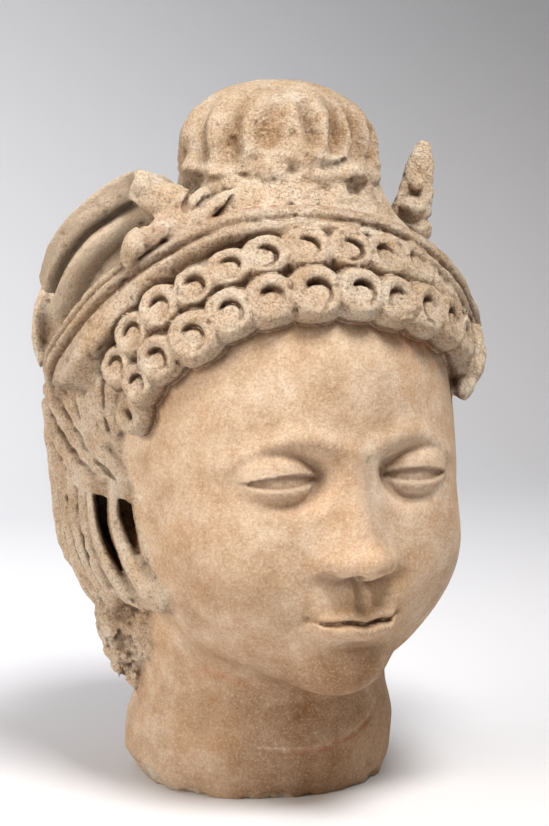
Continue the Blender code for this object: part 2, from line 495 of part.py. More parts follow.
def loop_frame():
    e = unit(LOOP_EDGE - LOOP_BASE)
    mid = 0.5 * (LOOP_EDGE + LOOP_BASE)
    t = unit(np.gradient(mid, axis=0))
    nu = unit(np.cross(t, e))
    return mid, e, t, nu, np.linalg.norm(LOOP_EDGE - LOOP_BASE, axis=1)
LOOP = loop_frame()
# profile from the band out to the edge: groove, swelling strip, deep groove, broad rim with a sharp lip
LOOP_A, LOOP_H = table((-0.3, -14), (0.05, -10), (0.18, -9), (0.265, -12), (0.31, -8), (0.36, -2.0), (0.42, 2.2), (0.49, 3.6), (0.55, 1.0), (0.595, -7), (0.625, -13), (0.655, -9), (0.69, -1.0), (0.75, 3.0), (0.83, 4.6), (0.90, 4.6), (0.96, 5.6), (1.0, 5.4), (1.10, 2), (1.3, 0), n=300)

def loop(p):
    mid, e, t, nu, wid = LOOP
    if (nu[40] @ np.array([-0.4, -0.9, 0.1])) < 0:
        nu = -nu
    i = ((p * p).sum(1)[:, None] - 2 * p @ mid.T + (mid * mid).sum(1)[None]).argmin(1)
    d = p - mid[i]
    along = (d * t[i]).sum(1)
    step_len = np.linalg.norm(np.diff(mid, axis=0), axis=1).mean()
    fi = np.clip(i + along / step_len, 0, len(mid) - 1)
    over = np.abs(along) * ((fi <= 0) | (fi >= len(mid) - 1))
    k = np.arange(len(mid))
    def pick(A):
        return np.stack([np.interp(fi, k, A[:, j]) for j in range(3)], 1)
    B, E, N = pick(LOOP_BASE), pick(unit(LOOP_EDGE - LOOP_BASE)), pick(nu)
    W = np.interp(fi, k, wid)
    q = p - B
    a = (q * E).sum(1) / W
    h = (q * N).sum(1)
    s = fi / (len(mid) - 1.0)
    g2 = np.interp(s, (0.3, 0.65, 1.0), (0.30, 0.40, 0.50)); g1 = np.interp(s, (0.3, 0.6, 0.8, 1.0), (0.64, 0.75, 0.82, 0.86))
    wa = np.where(a < g2, -0.35 + (a + 0.35) * 0.615 / (g2 + 0.35), np.where(a < g1, 0.265 + (a - g2) * 0.36 / (g1 - g2), 0.625 + (a - g1) * 0.375 / (1 - g1)))
    H = np.interp(wa, LOOP_A, LOOP_H)
    # at its upper end the loop is one smooth swelling, broken away in front
    up = 1 - step(s, 0.285, 0.315)
    H = H * (1 - up) + up * (2.0 + 6.0 * np.clip(a, 0, 1) - 60.0 * np.clip(0.16 - s, 0, 1) + 3.0 * fbm(p, 16.0, 71, 2))
    a_max = np.interp(s, (0.0, 0.10, 0.20, 0.30, 0.76, 0.83, 0.92, 1.0), (0.15, 0.42, 0.75, 1.0, 1.0, 0.78, 0.48, 0.30))
    back = 10.0 + 28.0 * np.clip(a_max - a, 0, 1.2)
    H = np.maximum(H, 6.0 - back)
    f = np.maximum((h - H) * 0.7, -(h + back))
    f = smax(f, (a - a_max) * W, 2.5)
    f = smax(f, (-0.35 - a) * W, 3.0)
    f = smax(f, over - 1.5, 3.0)
    return f

def leaf(p):
    """The pointed leaf where the loop ends, hollowed towards the front."""
    c = np.array([-162.5, 21, 358.0])
    up = unit([0.10, 0.12, 0.985]); face = unit(np.array([-0.62, -0.78, 0.05]) - 0.0 * up)
    face = unit(face - (face @ up) * up)
    R = np.stack([up, face, np.cross(up, face)], 1)
    q = (p - c) @ R
    point = 1.0 - 0.35 * np.clip(np.abs(q[:, 0]) / 33.0, 0, 1) ** 2
    q = q / np.stack([np.ones(len(q)), point, point], 1)
    body = ell(q, (0, -2, 0), (34, 11, 15))
    hollow = ell(q, (-2, 9.0, 0.5), (28, 9.5, 10.5))
    mid = ell(q, (0, 0, -9), (33, 9.5, 5))
    return smin(smax(body, -hollow, 2.0), mid, 2.0)

BUD_AXIS = unit([0.62, -0.12, 0.72])
STEM = Path(spline([(-124, -84, 424), (-116, -88, 433), (-107, -91, 440), (-97, -91, 447), (-90, -92, 453)], 24), (-0.3, -0.85, 0.4)); STEM_R = np.interp(np.linspace(0, 1, 24), (0, .3, .6, 1), (4.5, 8.0, 9.5, 8.0))
TIP = Path(spline([(-104, -94, 436), (-92, -99, 443), (-78, -103, 453), (-60, -101, 465)], 20), (-0.2, -0.85, 0.45)); TIP_R = np.interp(np.linspace(0, 1, 20), (0, .3, .7, 1), (4.5, 7.5, 5.5, 1.2))

FACET_C = np.array([-112.0, -78, 461])
def facet(p):
    """The broken upper end of the loop: a block with one bright flat break."""
    e1, e2 = np.array([0.917, -0.399, 0]), np.array([-0.399, -0.917, 0])
    z = np.array([0, 0, 1.0])
    u, v = 0.934 * e1 - 0.358 * z, 0.358 * e1 + 0.934 * z
    q = p - FACET_C
    a, b, c = q @ u, q @ v, q @ e2
    f = np.maximum(np.maximum(0.62 * c + 0.78 * b - 9.0, 0.97 * c - 0.24 * b - 10.0 - 0.10 * a), np.maximum(np.abs(a - 1.0) - 19.0, -b - 15.0 - 0.35 * a))
    f = np.maximum(f, np.maximum(b - 9.5, -c - 18.0))
    f = f + 3.4 * fbm(p, 15.0, 75, 4)
    return smax(f, -ell(p, (-120, -88, 441), (4.5, 13, 9), rot_y(-18)), 1.0)

def ornament(p):
    """A bud wrapped in its calyx, a short stem, an oval bead, and a leaf pointing over the brow."""
    R = np.stack([BUD_AXIS, unit(np.cross(BUD_AXIS, [0.4, 0.9, 0.1])), unit(np.cross(BUD_AXIS, np.cross(BUD_AXIS, [0.4, 0.9, 0.1])))], 1)
    q = (p - np.array([-129.0, -84, 427])) @ R
    bud = ell(q, (2.0, 0, 0), (10.5, 6.2, 6.2))
    wrap = np.abs(ell(q, (-1.0, 0, 0), (13.0, 9.2, 9.0)) + 1.2) - 1.3
    wrap = np.maximum(wrap, q[:, 0] - 1.0 - 0.75 * q[:, 1] - 3.0 * np.abs(hash_noise(p, 7.0, 76)))
    wrap = smin(wrap, ell(q, (-7.0, 0, 0), (6.5, 8.0, 8.0)), 1.0)
    f = smin(bud, wrap, 0.8)
    f = smin(f, ell(p, (-135, -79, 416), (6, 6, 9)), 3.0)
    f = smin(f, tube(p, STEM, STEM_R, 0.6) + 2.2 * fbm(p, 11.0, 73, 2), 2.0)
    # oval bead with a raised ring
    e = (p - np.array([-86.5, -95, 456])) @ R
    ring = np.abs(np.sqrt((e[:, 0] / 1.35) ** 2 + e[:, 1] ** 2 + (e[:, 2] * 0.9) ** 2) - 7.6) - 1.2
    f = smin(f, np.minimum(ell(e, (0, 0, 0), (8.6, 6.2, 6.2)), smax(ring, np.abs(e @ unit([0.1, 0.9, -0.4])) - 4.0, 1.0)), 1.5)
    # leaf with a groove along its middle
    L, a, h, over = TIP.coords(p)
    r = np.interp(L, TIP.L, TIP_R)
    lf = np.sqrt(a * a + (h / 0.62) ** 2 + over * over) - r
    lf = lf + 1.8 * np.exp(-(a / 1.6) ** 2) * (h > 0)
    return smin(f, lf, 1.5)

FINGER = Path(spline([(96, -72, 434), (100, -75, 450), (103, -76, 465), (105, -77, 480), (108, -77, 492)], 24), (-0.4, -0.9, 0)); FINGER_R = np.interp(np.linspace(0, 1, 24), (0, .28, .5, .78, .93, 1), (20, 15.5, 13.0, 11.5, 9.0, 6.5))

def fragment(p):
    """What is left of the same ornament on the far side: a leaning, worn finger with two knobs on it."""
    f = tube(p, FINGER, FINGER_R, 0.55) + 2.6 * fbm(p, 13.0, 77, 3)
    f = smin(f, ell(p, (99, -82, 466), (6.0, 6.5, 6.5)), 1.5)
    f = smin(f, ell(p, (97, -81, 449), (11.0, 9.5, 8.5)), 1.5)
    f = f + 3.5 * np.exp(-((p[:, 2] - 438.5) / 2.4) ** 2) * step(-p[:, 1], 72, 80)
    return f + 1.2 * np.clip(hash_noise(p, 5.0, 78), 0, 1)

# ---------------------------------------------------------------- hair, ear and broken edge beside the cheek
SIDE_OUT = table((-98, 120), (-80, 130), (-60, 138), (-30, 148), (0, 154), (30, 157.5), (55, 154), (80, 142), (100, 130))
SIDE_IN = table((60, 66), (76, 58), (92, 42), (105, 34), (136, 32), (155, 22), (172, 13), (200, 8), (228, 6), (262, 2), (296, 0), (340, 0))
SIDE_ROOM = table((-98, -3), (-84, 1), (-70, 6), (-50, 13), (-25, 22), (10, 34), (90, 34))
def side_x(y, z):
    """Where the hair and the ear end sideways."""
    k = np.interp(y, (-95, -60, -20, 10), (0, 0.15, 0.8, 1))
    return -(np.interp(y, *SIDE_OUT) - np.interp(z, *SIDE_IN) * k)

def on_side(pts, out=0.0):
    P = np.asarray(pts, float)
    return np.stack([side_x(P[:, 0], P[:, 1]) - out, P[:, 0], P[:, 1]], 1)

def lock(pts, radii, out=0.0, n=36, face=(-1, -0.45, 0.1)):
    """One strand of hair laid on the side of the head: its path and radius."""
    return Path(spline(on_side(pts, out), n), face), np.interp(np.linspace(0, 1, n), np.linspace(0, 1, len(radii)), radii)

# the strands swept from behind the ear to the temple, from the lowest up
FAN = [lock([(56, 276), (34, 252), (-1, 241), (-39, 236), (-66, 235), (-78, 235)], (9, 9.5, 8.5, 6.5, 3.0, 1.5), -3.5),
       lock([(58, 292), (24, 268), (-8, 250), (-44, 241), (-67, 238), (-78, 236)], (10, 9, 7.5, 5.0, 2.8, 1.2), -3.0),
       lock([(40, 306), (5, 281), (-23, 259), (-49, 246), (-68, 241)], (10, 9, 7.0, 4.6, 2.4), -2.5),
       lock([(10, 314), (-12, 289), (-34, 268), (-54, 254), (-69, 244)], (8, 7.5, 6.0, 4.2, 2.6), -2.0),
       lock([(-12, 318), (-27, 292), (-41, 272), (-58, 259), (-69, 248)], (6, 6.5, 5.2, 4.0, 3.0), -2.0)]
UPRIGHT = [lock([(-21, 330), (-22, 303), (-24, 283)], (6.5, 6.5, 3), 0.5), lock([(-34, 334), (-34, 309), (-37, 283)], (6, 6, 3), 1.5),
           lock([(-44, 330), (-44, 306), (-48, 286)], (6, 6, 3.5), 1.5), lock([(-5, 328), (-4, 312), (-6, 298)], (7.5, 7, 3), -1.0), lock([(-58, 318), (-57, 300), (-60, 284)], (7, 6.5, 4), 1.0)]
FALLS = [lock([(52, 268), (50, 230), (46, 190), (40, 160), (34, 138)], (12, 12, 11, 9, 7), -6.0), lock([(28, 250), (28, 220), (25, 189), (22, 161), (20, 136)], (9, 10, 10, 9, 7), -5.5),
         lock([(12, 246), (13, 214), (8, 184), (4, 158), (2, 139)], (6.5, 7.5, 7.5, 6.5, 5), -4.5), lock([(-4, 242), (-1, 213), (-7, 186), (-14, 164), (-17, 150)], (5, 6, 6, 5.5, 4), -4.5)]
HELIX, HELIX_R = lock([(-20, 242), (-22, 217), (-30, 193), (-44, 174), (-58, 163)], (6.5, 8.0, 8.5, 8.0, 6.0), -5.0)
ANTI, ANTI_R = lock([(-51, 240), (-51, 217), (-58, 199), (-70, 180), (-82, 168)], (5.0, 5.5, 6.5, 7.0, 5.0), -5.0)

def side(p):
    """The mass of hair and ear beside the cheek, under the strands."""
    x, y, z = p[:, 0], p[:, 1], p[:, 2]
    d = (side_x(y, z) + 4.0 - x) * 0.86
    d = smax(d, head_mass(p) - np.interp(y, *SIDE_ROOM), 4.0)
    d = smax(d, np.maximum(np.interp(y, (-90, -60, -20, 0, 40), (168, 158, 150, 138, 128)) - z, z - 326.0), 5.0)
    return smax(d, np.maximum(y - 78.0, x + 88.0), 6.0)

def strands(p, rows, flat, k):
    d = None
    for path, r in rows:
        g = tube(p, path, r, flat)
        d = g if d is None else smin(d, g, k)
    return d

def fan(p):
    d = smin(strands(p, FAN, 0.8, 4.6), ell(p, (-127, -74, 236), (8, 11, 6)), 3.0)
    r = np.hypot(p[:, 1] + 88.0, p[:, 2] - 234.0)
    turn = np.degrees(np.arctan2(p[:, 2] - 234.0, p[:, 1] + 88.0)) + 0.16 * r
    hairs = (0.5 - 0.5 * np.cos(np.radians(turn * 68.0 + 90.0 * hash_noise(p, 14.0, 82)))) * step(r, 22, 50)
    return d + 0.7 * hash_noise(p, 9.0, 83)

def upright(p):
    return strands(p, UPRIGHT, 0.8, 2.0) + 0.8 * fbm(p, 8.0, 87, 2)

def fall(p):
    hairs = 0.5 - 0.5 * np.cos(2 * np.pi * (p[:, 1] - 0.13 * p[:, 2]) / 5.2 + 2.0 * hash_noise(p, 16.0, 85))
    chips = np.clip(fbm(p * np.array([1, 1, 0.55]), 14.0, 86, 3) - 0.05, 0, 1)
    return strands(p, FALLS, 0.8, 4.5) + 0.8 * hash_noise(p, 11.0, 84) + 5.0 * chips

def ear(p):
    f = smin(tube(p, HELIX, HELIX_R), tube(p, ANTI, ANTI_R), 6.0)
    return smin(f, ell(p, (-119, -62, 171), (9, 23, 16), rot_x(12)), 8.0)

# the two deep slits, cut straight in from the front quarter: their edges and their floor at each height
CUT_A, CUT_B = (0.917, -0.399), (0.399, 0.917)
SLIT_A = (176, 186, 198, 210, 222, 234), (-101.0, -108.5, -115.7, -119.6, -121.2, -122.8), (-99.5, -103.5, -108.6, -111.6, -112.0, -112.0), -50.0
SLIT_B = (194, 200, 209, 219, 233), (-89.0, -92.5, -96.7, -101.4, -102.2), (-87.0, -87.5, -88.5, -90.6, -92.6), -80.0
def ear_slits(p):
    d = np.full(len(p), 50.0)
    s = CUT_A[0] * p[:, 0] + CUT_A[1] * p[:, 1]
    v = CUT_B[0] * p[:, 0] + CUT_B[1] * p[:, 1]
    for zs, left, right, floor in (SLIT_A, SLIT_B):
        lo, hi = np.interp(p[:, 2], zs, left), np.interp(p[:, 2], zs, right)
        f = np.abs(s - 0.5 * (lo + hi)) - 0.5 * (hi - lo)
        f = np.maximum(f, zs[0] - p[:, 2])
        f = np.maximum(f, p[:, 2] - 246.0)
        f = np.maximum(f, v - (floor - 34.0 * (1 - np.clip((p[:, 2] - zs[0]) / 26.0, 0, 1))))
        d = np.minimum(d, f)
    return d

LEDGE = Path(spline([(-126, -22, 158), (-121, -45, 155), (-117, -66, 152), (-115, -82, 154), (-115, -94, 158)], 30), (-1, -0.3, 0)); LEDGE_R = np.interp(np.linspace(0, 1, 30), (0, .3, .6, .85, 1), (2, 4.5, 4.8, 3.0, 0.5))

def broken(p):
    """The rough stump below the ear, where the falling hair is broken away."""
    f = ell(p, (-111, 14, 122), (19, 20, 22))
    f = smin(f, ell(p, (-106, 10, 104), (19, 18, 16)), 6.0)
    f = smin(f, ell(p, (-97, -10, 122), (15, 22, 24)), 8.0)
    f = smin(f, ell(p, (-100, 6, 84), (8, 9, 15)), 5.0)
    f = smin(f, ell(p, (-96, 30, 104), (20, 24, 30)), 8.0)
    f = f + 6.0 * fbm(p, 12.0, 51, 4) + 1.5
    f = f + 4.0 * np.clip(hash_noise(p, 5.5, 55) - 0.25, 0, 1) + 1.5 * hash_noise(p, 3.4, 56)
    # splintered ledge across the end of the ear
    L, a, h, over = LEDGE.coords(p)
    g = np.sqrt((a * 0.8) ** 2 + h * h + over * over) - np.interp(L, LEDGE.L, LEDGE_R)
    g = g + 3.6 * fbm(p * np.array([0.3, 0.3, 1.8]), 7.0, 57, 3) + 1.8 * fbm(p, 10.0, 58, 2)
    return smin(f, g, 3.0)

TEMPLE = Path(spline([(136, -106, 350), (134, -108, 334), (128, -112, 320), (122, -117, 311)], 20), (0.8, -0.5, 0)); TEMPLE_R = np.interp(np.linspace(0, 1, 20), (0, .4, .75, 1), (10, 13, 12, 8))
def temple(p):
    """The rough mass on the far side in which the rows of curls end."""
    return tube(p, TEMPLE, TEMPLE_R, 0.9) + 3.2 * fbm(p, 11.0, 79, 4) + 1.4 * np.clip(hash_noise(p, 5.0, 80), 0, 1)

# ---------------------------------------------------------------- everything together
CURLS = row_curls()

CREASE = table((-60, 66), (-40, 52), (-23, 44), (-8, 40.5), (12, 43), (32, 58), (50, 80))
def neck_creases(turn, z):
    """Shallow folds across the front of the neck."""
    main = 1.7 * np.exp(-((z - np.interp(turn, *CREASE)) / 2.8) ** 2) * (1 - step(np.abs(turn - 5), 24, 38))
    upper = 0.8 * np.exp(-((z - 76 - 0.012 * turn ** 2 * 0.5) / 3.0) ** 2) * (1 - step(np.abs(turn + 10), 30, 60))
    return main + upper

def whole(p):
    """The finished form, negative inside."""
    f = head_sdf(p)
    m = (p[:, 2] < 110) & (p[:, 1] < 20)
    if m.any():
        q = p[m]
        turn = np.degrees(np.arctan2(q[:, 0], -q[:, 1]))
        f[m] += neck_creases(turn, q[:, 2])
    m = p[:, 2] < 36
    if m.any():
        q = p[m]
        rho = np.hypot(q[:, 0], q[:, 1])
        edge = 102.0 + 0.02 * q[:, 0]
        rise = 12.0 * step(-0.917 * q[:, 0] + 0.399 * q[:, 1], 62, 100) + 5.0 * step(0.917 * q[:, 0] - 0.399 * q[:, 1], 70, 105)
        chip = 2.5 + rise + 6.5 * fbm(q * np.array([1, 1, 0.3]), 11.0, 61, 4) - 1.1 * np.clip(edge - rho, -6, 40)
        f[m] = smax(f[m], np.minimum(chip - q[:, 2], 10.0), 1.0)
    def add(fn, lo, hi, k, pad=14.0):
        nonlocal f
        m = near_box(p, lo, hi, pad)
        if m.any():
            g = f[m]
            f[m] = smin(g, fn(p[m]), k)
    add(crown, (-175, -150, 250), (175, 185, 480), 4.0)
    add(back_hair, (-175, -60, 70), (175, 175, 400), 6.0)
    add(headband, (-175, -140, 280), (175, 175, 470), 1.6)
    add(topknot, (-96, -140, 418), (96, 60, 548), 9.0)
    add(lambda q: ell(q, (62, -34, 446), (24, 34, 18)), (38, -68, 428), (86, 0, 464), 6.0)
    add(loop, (-182, -125, 315), (-60, 55, 482), 2.0)
    add(leaf, (-182, -8, 315), (-132, 52, 400), 1.5)
    add(facet, (-145, -112, 440), (-80, -50, 480), 7.0)
    add(ornament, (-150, -112, 398), (-55, -60, 475), 2.0)
    add(fragment, (76, -100, 415), (128, -50, 500), 3.0)
    add(temple, (105, -135, 290), (155, -80, 365), 5.0)
    add(side, (-165, -98, 110), (-80, 84, 335), 6.0)
    add(fall, (-168, -30, 125), (-110, 70, 285), 5.0)
    add(ear, (-160, -96, 150), (-112, -5, 255), 6.0)
    add(lambda q: ell(q, (-112, -82, 166), (10, 16, 14)), (-124, -100, 150), (-100, -64, 182), 8.0)
    m = near_box(p, (-170, -92, 172), (-98, 12, 250), 6)
    if m.any():
        f[m] = smax(f[m], -ear_slits(p[m]), 3.0)
    add(fan, (-172, -80, 215), (-118, 75, 330), 1.5)
    add(upright, (-168, -72, 275), (-118, 12, 345), 2.0)
    turned = np.array([-1.0, 1.0, 1.0])
    add(lambda q: side(q * turned), (80, -98, 110), (165, 84, 335), 6.0)
    add(lambda q: fall(q * turned), (110, -30, 125), (168, 70, 285), 3.0)
    add(lambda q: ear(q * turned), (112, -96, 150), (160, -5, 255), 3.0)
    m = near_box(p, (98, -92, 172), (170, 12, 250), 6)
    if m.any():
        f[m] = smax(f[m], -(ear_slits(p[m] * turned) + 1.0), 3.0)
    add(lambda q: fan(q * turned), (118, -80, 215), (172, 75, 330), 2.0)
    add(broken, (-135, -112, 60), (-70, 60, 172), 5.0)
    for n, C in enumerate(CURLS):
        c = C["c"]
        add(lambda q, C=C, n=n: curl(q, C, 100 + n), c - 32, c + 32, 0.8, 6.0)
    return f

# ---------------------------------------------------------------- Blender side
MM = 0.001
for _old in list(bpy.data.objects):
    bpy.data.objects.remove(_old)

model = bpy.data.collections.new("bodhisattva_head")
helpers = bpy.data.collections.new("helpers")
bpy.context.scene.collection.children.link(model)
bpy.context.scene.collection.children.link(helpers)

def into(obj, collection):
    for c in list(obj.users_collection):
        c.objects.unlink(obj)
    collection.objects.link(obj)
    return obj

def helper(obj):
    into(obj, helpers)
    obj.hide_render = True
    obj.display_type = "WIRE"
    return obj

def lump(center, radii, turn=(0, 0, 0), segments=32, rings=20):
    """An ellipsoid laid on as a lump of stucco."""
    bpy.ops.mesh.primitive_uv_sphere_add(segments=segments, ring_count=rings, radius=1.0,
                                         location=[c * MM for c in center],
                                         rotation=[math.radians(t) for t in turn])
    o = bpy.context.object
    o.scale = [r * MM for r in radii]
    return helper(o)

def roll(points, radii, flat=1.0, sides=2):
    """A roll of stucco laid along a curve, thick as given at each point."""
    cu = bpy.data.curves.new("roll", "CURVE")
    cu.dimensions = "3D"; cu.bevel_depth = 1.0 * MM; cu.bevel_resolution = sides; cu.use_fill_caps = True
    sp = cu.splines.new("POLY"); sp.points.add(len(points) - 1)
    for q, c, r in zip(sp.points, points, radii):
        q.co = (c[0] * MM, c[1] * MM, c[2] * MM, 1); q.radius = r
    return helper(bpy.data.objects.new("roll", cu))

def turned(profile, steps=64, place=(0, 0, 0), lean=0.0):
    """A turned lump: the profile (radius, height) runs down its outer side."""
    me = bpy.data.meshes.new("turned")
    me.from_pydata([(r * MM, 0, z * MM) for r, z in profile], [(i, i + 1) for i in range(len(profile) - 1)], [])
    o = bpy.data.objects.new("turned", me)
    m = o.modifiers.new("Screw", "SCREW")
    m.steps = steps; m.render_steps = steps; m.use_merge_vertices = True; m.merge_threshold = 0.0001
    o.location = [c * MM for c in place]; o.rotation_euler = (math.radians(lean), 0, 0)
    return helper(o)

def drum(C):
    """The plain drum from which one curl is cut."""
    bpy.ops.mesh.primitive_cylinder_add(vertices=24, radius=(C["r"] - 1.0) * MM, depth=26 * MM)
    o = bpy.context.object
    place = Matrix((C["u"], C["v"], C["n"])).transposed().to_4x4()
    place.translation = Vector((C["c"] - 4.0 * C["n"]) * MM)
    o.matrix_world = place
    b = o.modifiers.new("Bevel", "BEVEL"); b.width = 5 * MM; b.segments = 2; b.limit_method = "ANGLE"
    return helper(o)

def strip(base, edge, front, thick):
    """A thick curved sheet lofted between two edge lines."""
    n = len(base); k = 9
    rows = [base + (edge - base) * (j / (k - 1.0)) for j in range(k)]
    verts = [tuple(rows[j][i] * MM) for i in range(n) for j in range(k)]
    faces = [(i * k + j, i * k + j + 1, (i + 1) * k + j + 1, (i + 1) * k + j) for i in range(n - 1) for j in range(k - 1)]
    me = bpy.data.meshes.new("strip"); me.from_pydata(verts, [], faces)
    o = bpy.data.objects.new("strip", me)
    s = o.modifiers.new("Solidify", "SOLIDIFY"); s.thickness = thick * MM; s.offset = front
    return helper(o)

def swept_band(path, stations, width, height):
    """The headband's bar, swept round the head as a flattened roll."""
    cu = bpy.data.curves.new("band", "CURVE"); cu.dimensions = "3D"
    cu.bevel_depth = height * MM; cu.bevel_resolution = 3
    sp = cu.splines.new("POLY"); sp.points.add(len(stations) - 1); sp.use_cyclic_u = True
    for q, i in zip(sp.points, stations):
        c = path.P[i] - 3.0 * path.N[i]
        q.co = (c[0] * MM, c[1] * MM, c[2] * MM, 1)
    return helper(bpy.data.objects.new("band", cu))

# ---- skull, face and neck
blocks = [
    lump((0, -28, 305), (134, 158, 146), segments=64, rings=40),
    lump((0, -72, 232), (126, 116, 122), segments=64, rings=40),
    lump((0, -92, 175), (104, 90, 84), segments=48, rings=32),
    lump((50, -120, 200), (56, 58, 52)), lump((-50, -120, 200), (56, 58, 52)),
    lump((0, -150, 122), (37, 37, 30)), lump((0, -146, 164), (46, 42, 36)),
    lump((0, -205, 208), (13, 16, 22), (-14, 0, 0)), lump((0, -193, 238), (13, 18, 42), (-14, 0, 0)),
    lump((16, -198, 199), (10, 14, 11)), lump((-16, -198, 199), (10, 14, 11)),
    turned([(0.0, 190), (94, 186), (96, 110), (99, 70), (105, 42), (105, 10), (104, -24), (0.0, -24)], place=(0, -6, 0)),
]
# ---- hair over the skull and behind the ears, topknot
blocks += [
    lump((0, -28, 305), (152, 174, 164), segments=64, rings=40),
    lump((0, 22, 250), (128, 118, 130), segments=48, rings=32),
    lump((0, 20, 190), (112, 92, 92), segments=48, rings=32),
    turned([(0.0, 48), (26, 45), (50, 37), (68, 24), (78, 6), (76, -4), (79, -14), (82, -21), (78, -32), (76, -60), (0.0, -60)],
           place=KNOT, lean=KNOT_TILT),
]
# ---- headband, loop, leaf, bud, bulb and the far side's fragment
blocks += [swept_band(BAND, range(0, 360, 6), 18, 13)]
for up in (-13.0, 0.0):
    c = BAND.P + BAND.S * up + BAND.N * 0.0
    blocks.append(roll([c[i] for i in list(range(0, 360, 6)) + [0]], [9.5] * 61))
for first, last in ((80, 122), (238, 281)):             # the broad face towards the ears
    c = BAND.P - BAND.S * 23.0 - BAND.N * 2.0
    blocks.append(roll([c[i] for i in range(first, last, 6)], [10.0] * len(range(first, last, 6))))
LOOP_FACE = LOOP[3] * (-1 if (LOOP[3][40] @ np.array([-0.4, -0.9, 0.1])) < 0 else 1)
blocks += [strip((LOOP_BASE - 9 * LOOP_FACE)[::3], (LOOP_EDGE - 7 * LOOP_FACE)[::3], 0.0, 22)]
c = LOOP_BASE + 0.28 * (LOOP_EDGE - LOOP_BASE) - 4 * LOOP_FACE
blocks += [roll([c[i] for i in range(0, 80, 4)], [9.0] * 20)]
blocks += [
    lump((-158, 34, 357), (12, 13, 33), (8, 6, 0)),
    lump((-112, -76, 461), (20, 14, 11), (0, 21, 0)), lump((-129, -84, 427), (13, 10, 10), (0, -38, 0)), lump((-135, -79, 416), (7, 7, 9)),
    roll(list(STEM.P[::3]), list(STEM_R[::3])), lump((-86, -94, 456), (10, 8, 8)),
    roll(list(TIP.P[::3]), list(TIP_R[::3])),
    roll(list(FINGER.P[::3]), list(FINGER_R[::3] * 0.8)), lump((99, -82, 466), (6, 6, 6)), lump((97, -81, 449), (11, 9, 8)),
    roll(list(TEMPLE.P[::3]), list(TEMPLE_R[::3])),
]
# ---- hair and ears beside the cheeks, and the broken stump
for sx in (1.0, -1.0):
    T = np.array([sx, 1.0, 1.0])
    blocks += [
        lump((-116 * sx, -20, 205), (24, 52, 70), (-8, 0, 0)), lump((-126 * sx, 18, 270), (22, 56, 62)), lump((-122 * sx, -36, 290), (18, 44, 40)),
        lump((-112 * sx, 20, 165), (22, 44, 42)),
        roll(list(HELIX.P[::4] * T), list(HELIX_R[::4])), roll(list(ANTI.P[::4] * T), list(ANTI_R[::4])),
    ]
    for path, r in FAN + UPRIGHT + FALLS:
        blocks.append(roll(list(path.P[::5] * T), list(r[::5] * 0.9)))
blocks += [
    roll(list(LEDGE.P[::5]), list(LEDGE_R[::5])),
    lump((-111, 14, 122), (19, 20, 22)), lump((-106, 10, 104), (19, 18, 16)), lump((-97, -10, 122), (15, 22, 24)),
    lump((-100, 6, 84), (8, 9, 15)), lump((-96, 30, 104), (20, 24, 30)),
]
blocks += [drum(C) for C in CURLS]

# ---- all the lumps made one skin
def evaluated_mesh(o):
    graph = bpy.context.evaluated_depsgraph_get()
    me = bpy.data.meshes.new_from_object(o.evaluated_get(graph))
    me.transform(o.matrix_world)
    return me

bpy.context.view_layer.update()
bm = bmesh.new()
for o in blocks:
    me = evaluated_mesh(o)
    bm.from_mesh(me)
    bpy.data.meshes.remove(me)
bmesh.ops.remove_doubles(bm, verts=bm.verts, dist=1e-6)
rough = bpy.data.meshes.new("rough")
bm.to_mesh(rough); bm.free()
for o in blocks:
    bpy.data.objects.remove(o)

head = bpy.data.objects.new("stucco_head", rough)
model.objects.link(head)

def apply(o, kind, name, **values):
    m = o.modifiers.new(name, kind)
    for key, value in values.items():
        setattr(m, key, value)
    bpy.context.view_layer.update()
    me = bpy.data.meshes.new_from_object(o.evaluated_get(bpy.context.evaluated_depsgraph_get()))
    o.modifiers.remove(m)
    old = o.data
    o.data = me
    bpy.data.meshes.remove(old)

def carve(o, rounds, most):
    """Moves each point of the skin along its slope onto the finished form."""
    n = len(o.data.vertices)
    co = np.empty(n * 3); o.data.vertices.foreach_get("co", co)
    p = co.reshape(-1, 3) / MM
    for _ in range(rounds):
        f = whole(p)
        g = np.stack([whole(p + e) - whole(p - e) for e in np.eye(3) * 0.7], 1) / 1.4
        size = np.maximum((g * g).sum(1), 0.15)
        p = p - np.clip(f / size, -most, most)[:, None] * g
    o.data.vertices.foreach_set("co", (p * MM).ravel())
    o.data.update()

apply(head, "REMESH", "one_skin", mode="VOXEL", voxel_size=SKIN * MM, adaptivity=0.0)
carve(head, 5, 4.0)
apply(head, "REMESH", "second_skin", mode="VOXEL", voxel_size=SKIN * MM, adaptivity=0.0)
carve(head, 2, 1.2)

# more facets on the face and the curls than elsewhere
points = np.empty(len(head.data.vertices) * 3); head.data.vertices.foreach_get("co", points)
points = points.reshape(-1, 3) / MM
lips = np.exp(-((points - np.array([0, -190, 155.0])) ** 2 / np.array([44.0, 30.0, 22.0]) ** 2).sum(1))
eyes = np.exp(-((np.abs(points) - np.array([EYE_X, 170, EYE_Z])) ** 2 / np.array([36.0, 34.0, 24.0]) ** 2).sum(1))
curls = step(points[:, 2], 285, 310) * (1 - step(points[:, 2], 425, 440)) * step(-points[:, 1], 70, 95)
keep = head.vertex_groups.new(name="features")
level = np.clip(np.round((1.0 * lips + 0.8 * eyes + 0.25 * curls) * 20), 0, 20) / 20
for value in np.unique(level):
    keep.add([int(i) for i in np.nonzero(level == value)[0]], float(value), "REPLACE")
apply(head, "DECIMATE", "facets", ratio=FACETS / max(1, 2 * len(head.data.polygons)), use_collapse_triangulate=True,
      vertex_group="features", invert_vertex_group=True, vertex_group_factor=0.15)
head.vertex_groups.clear()

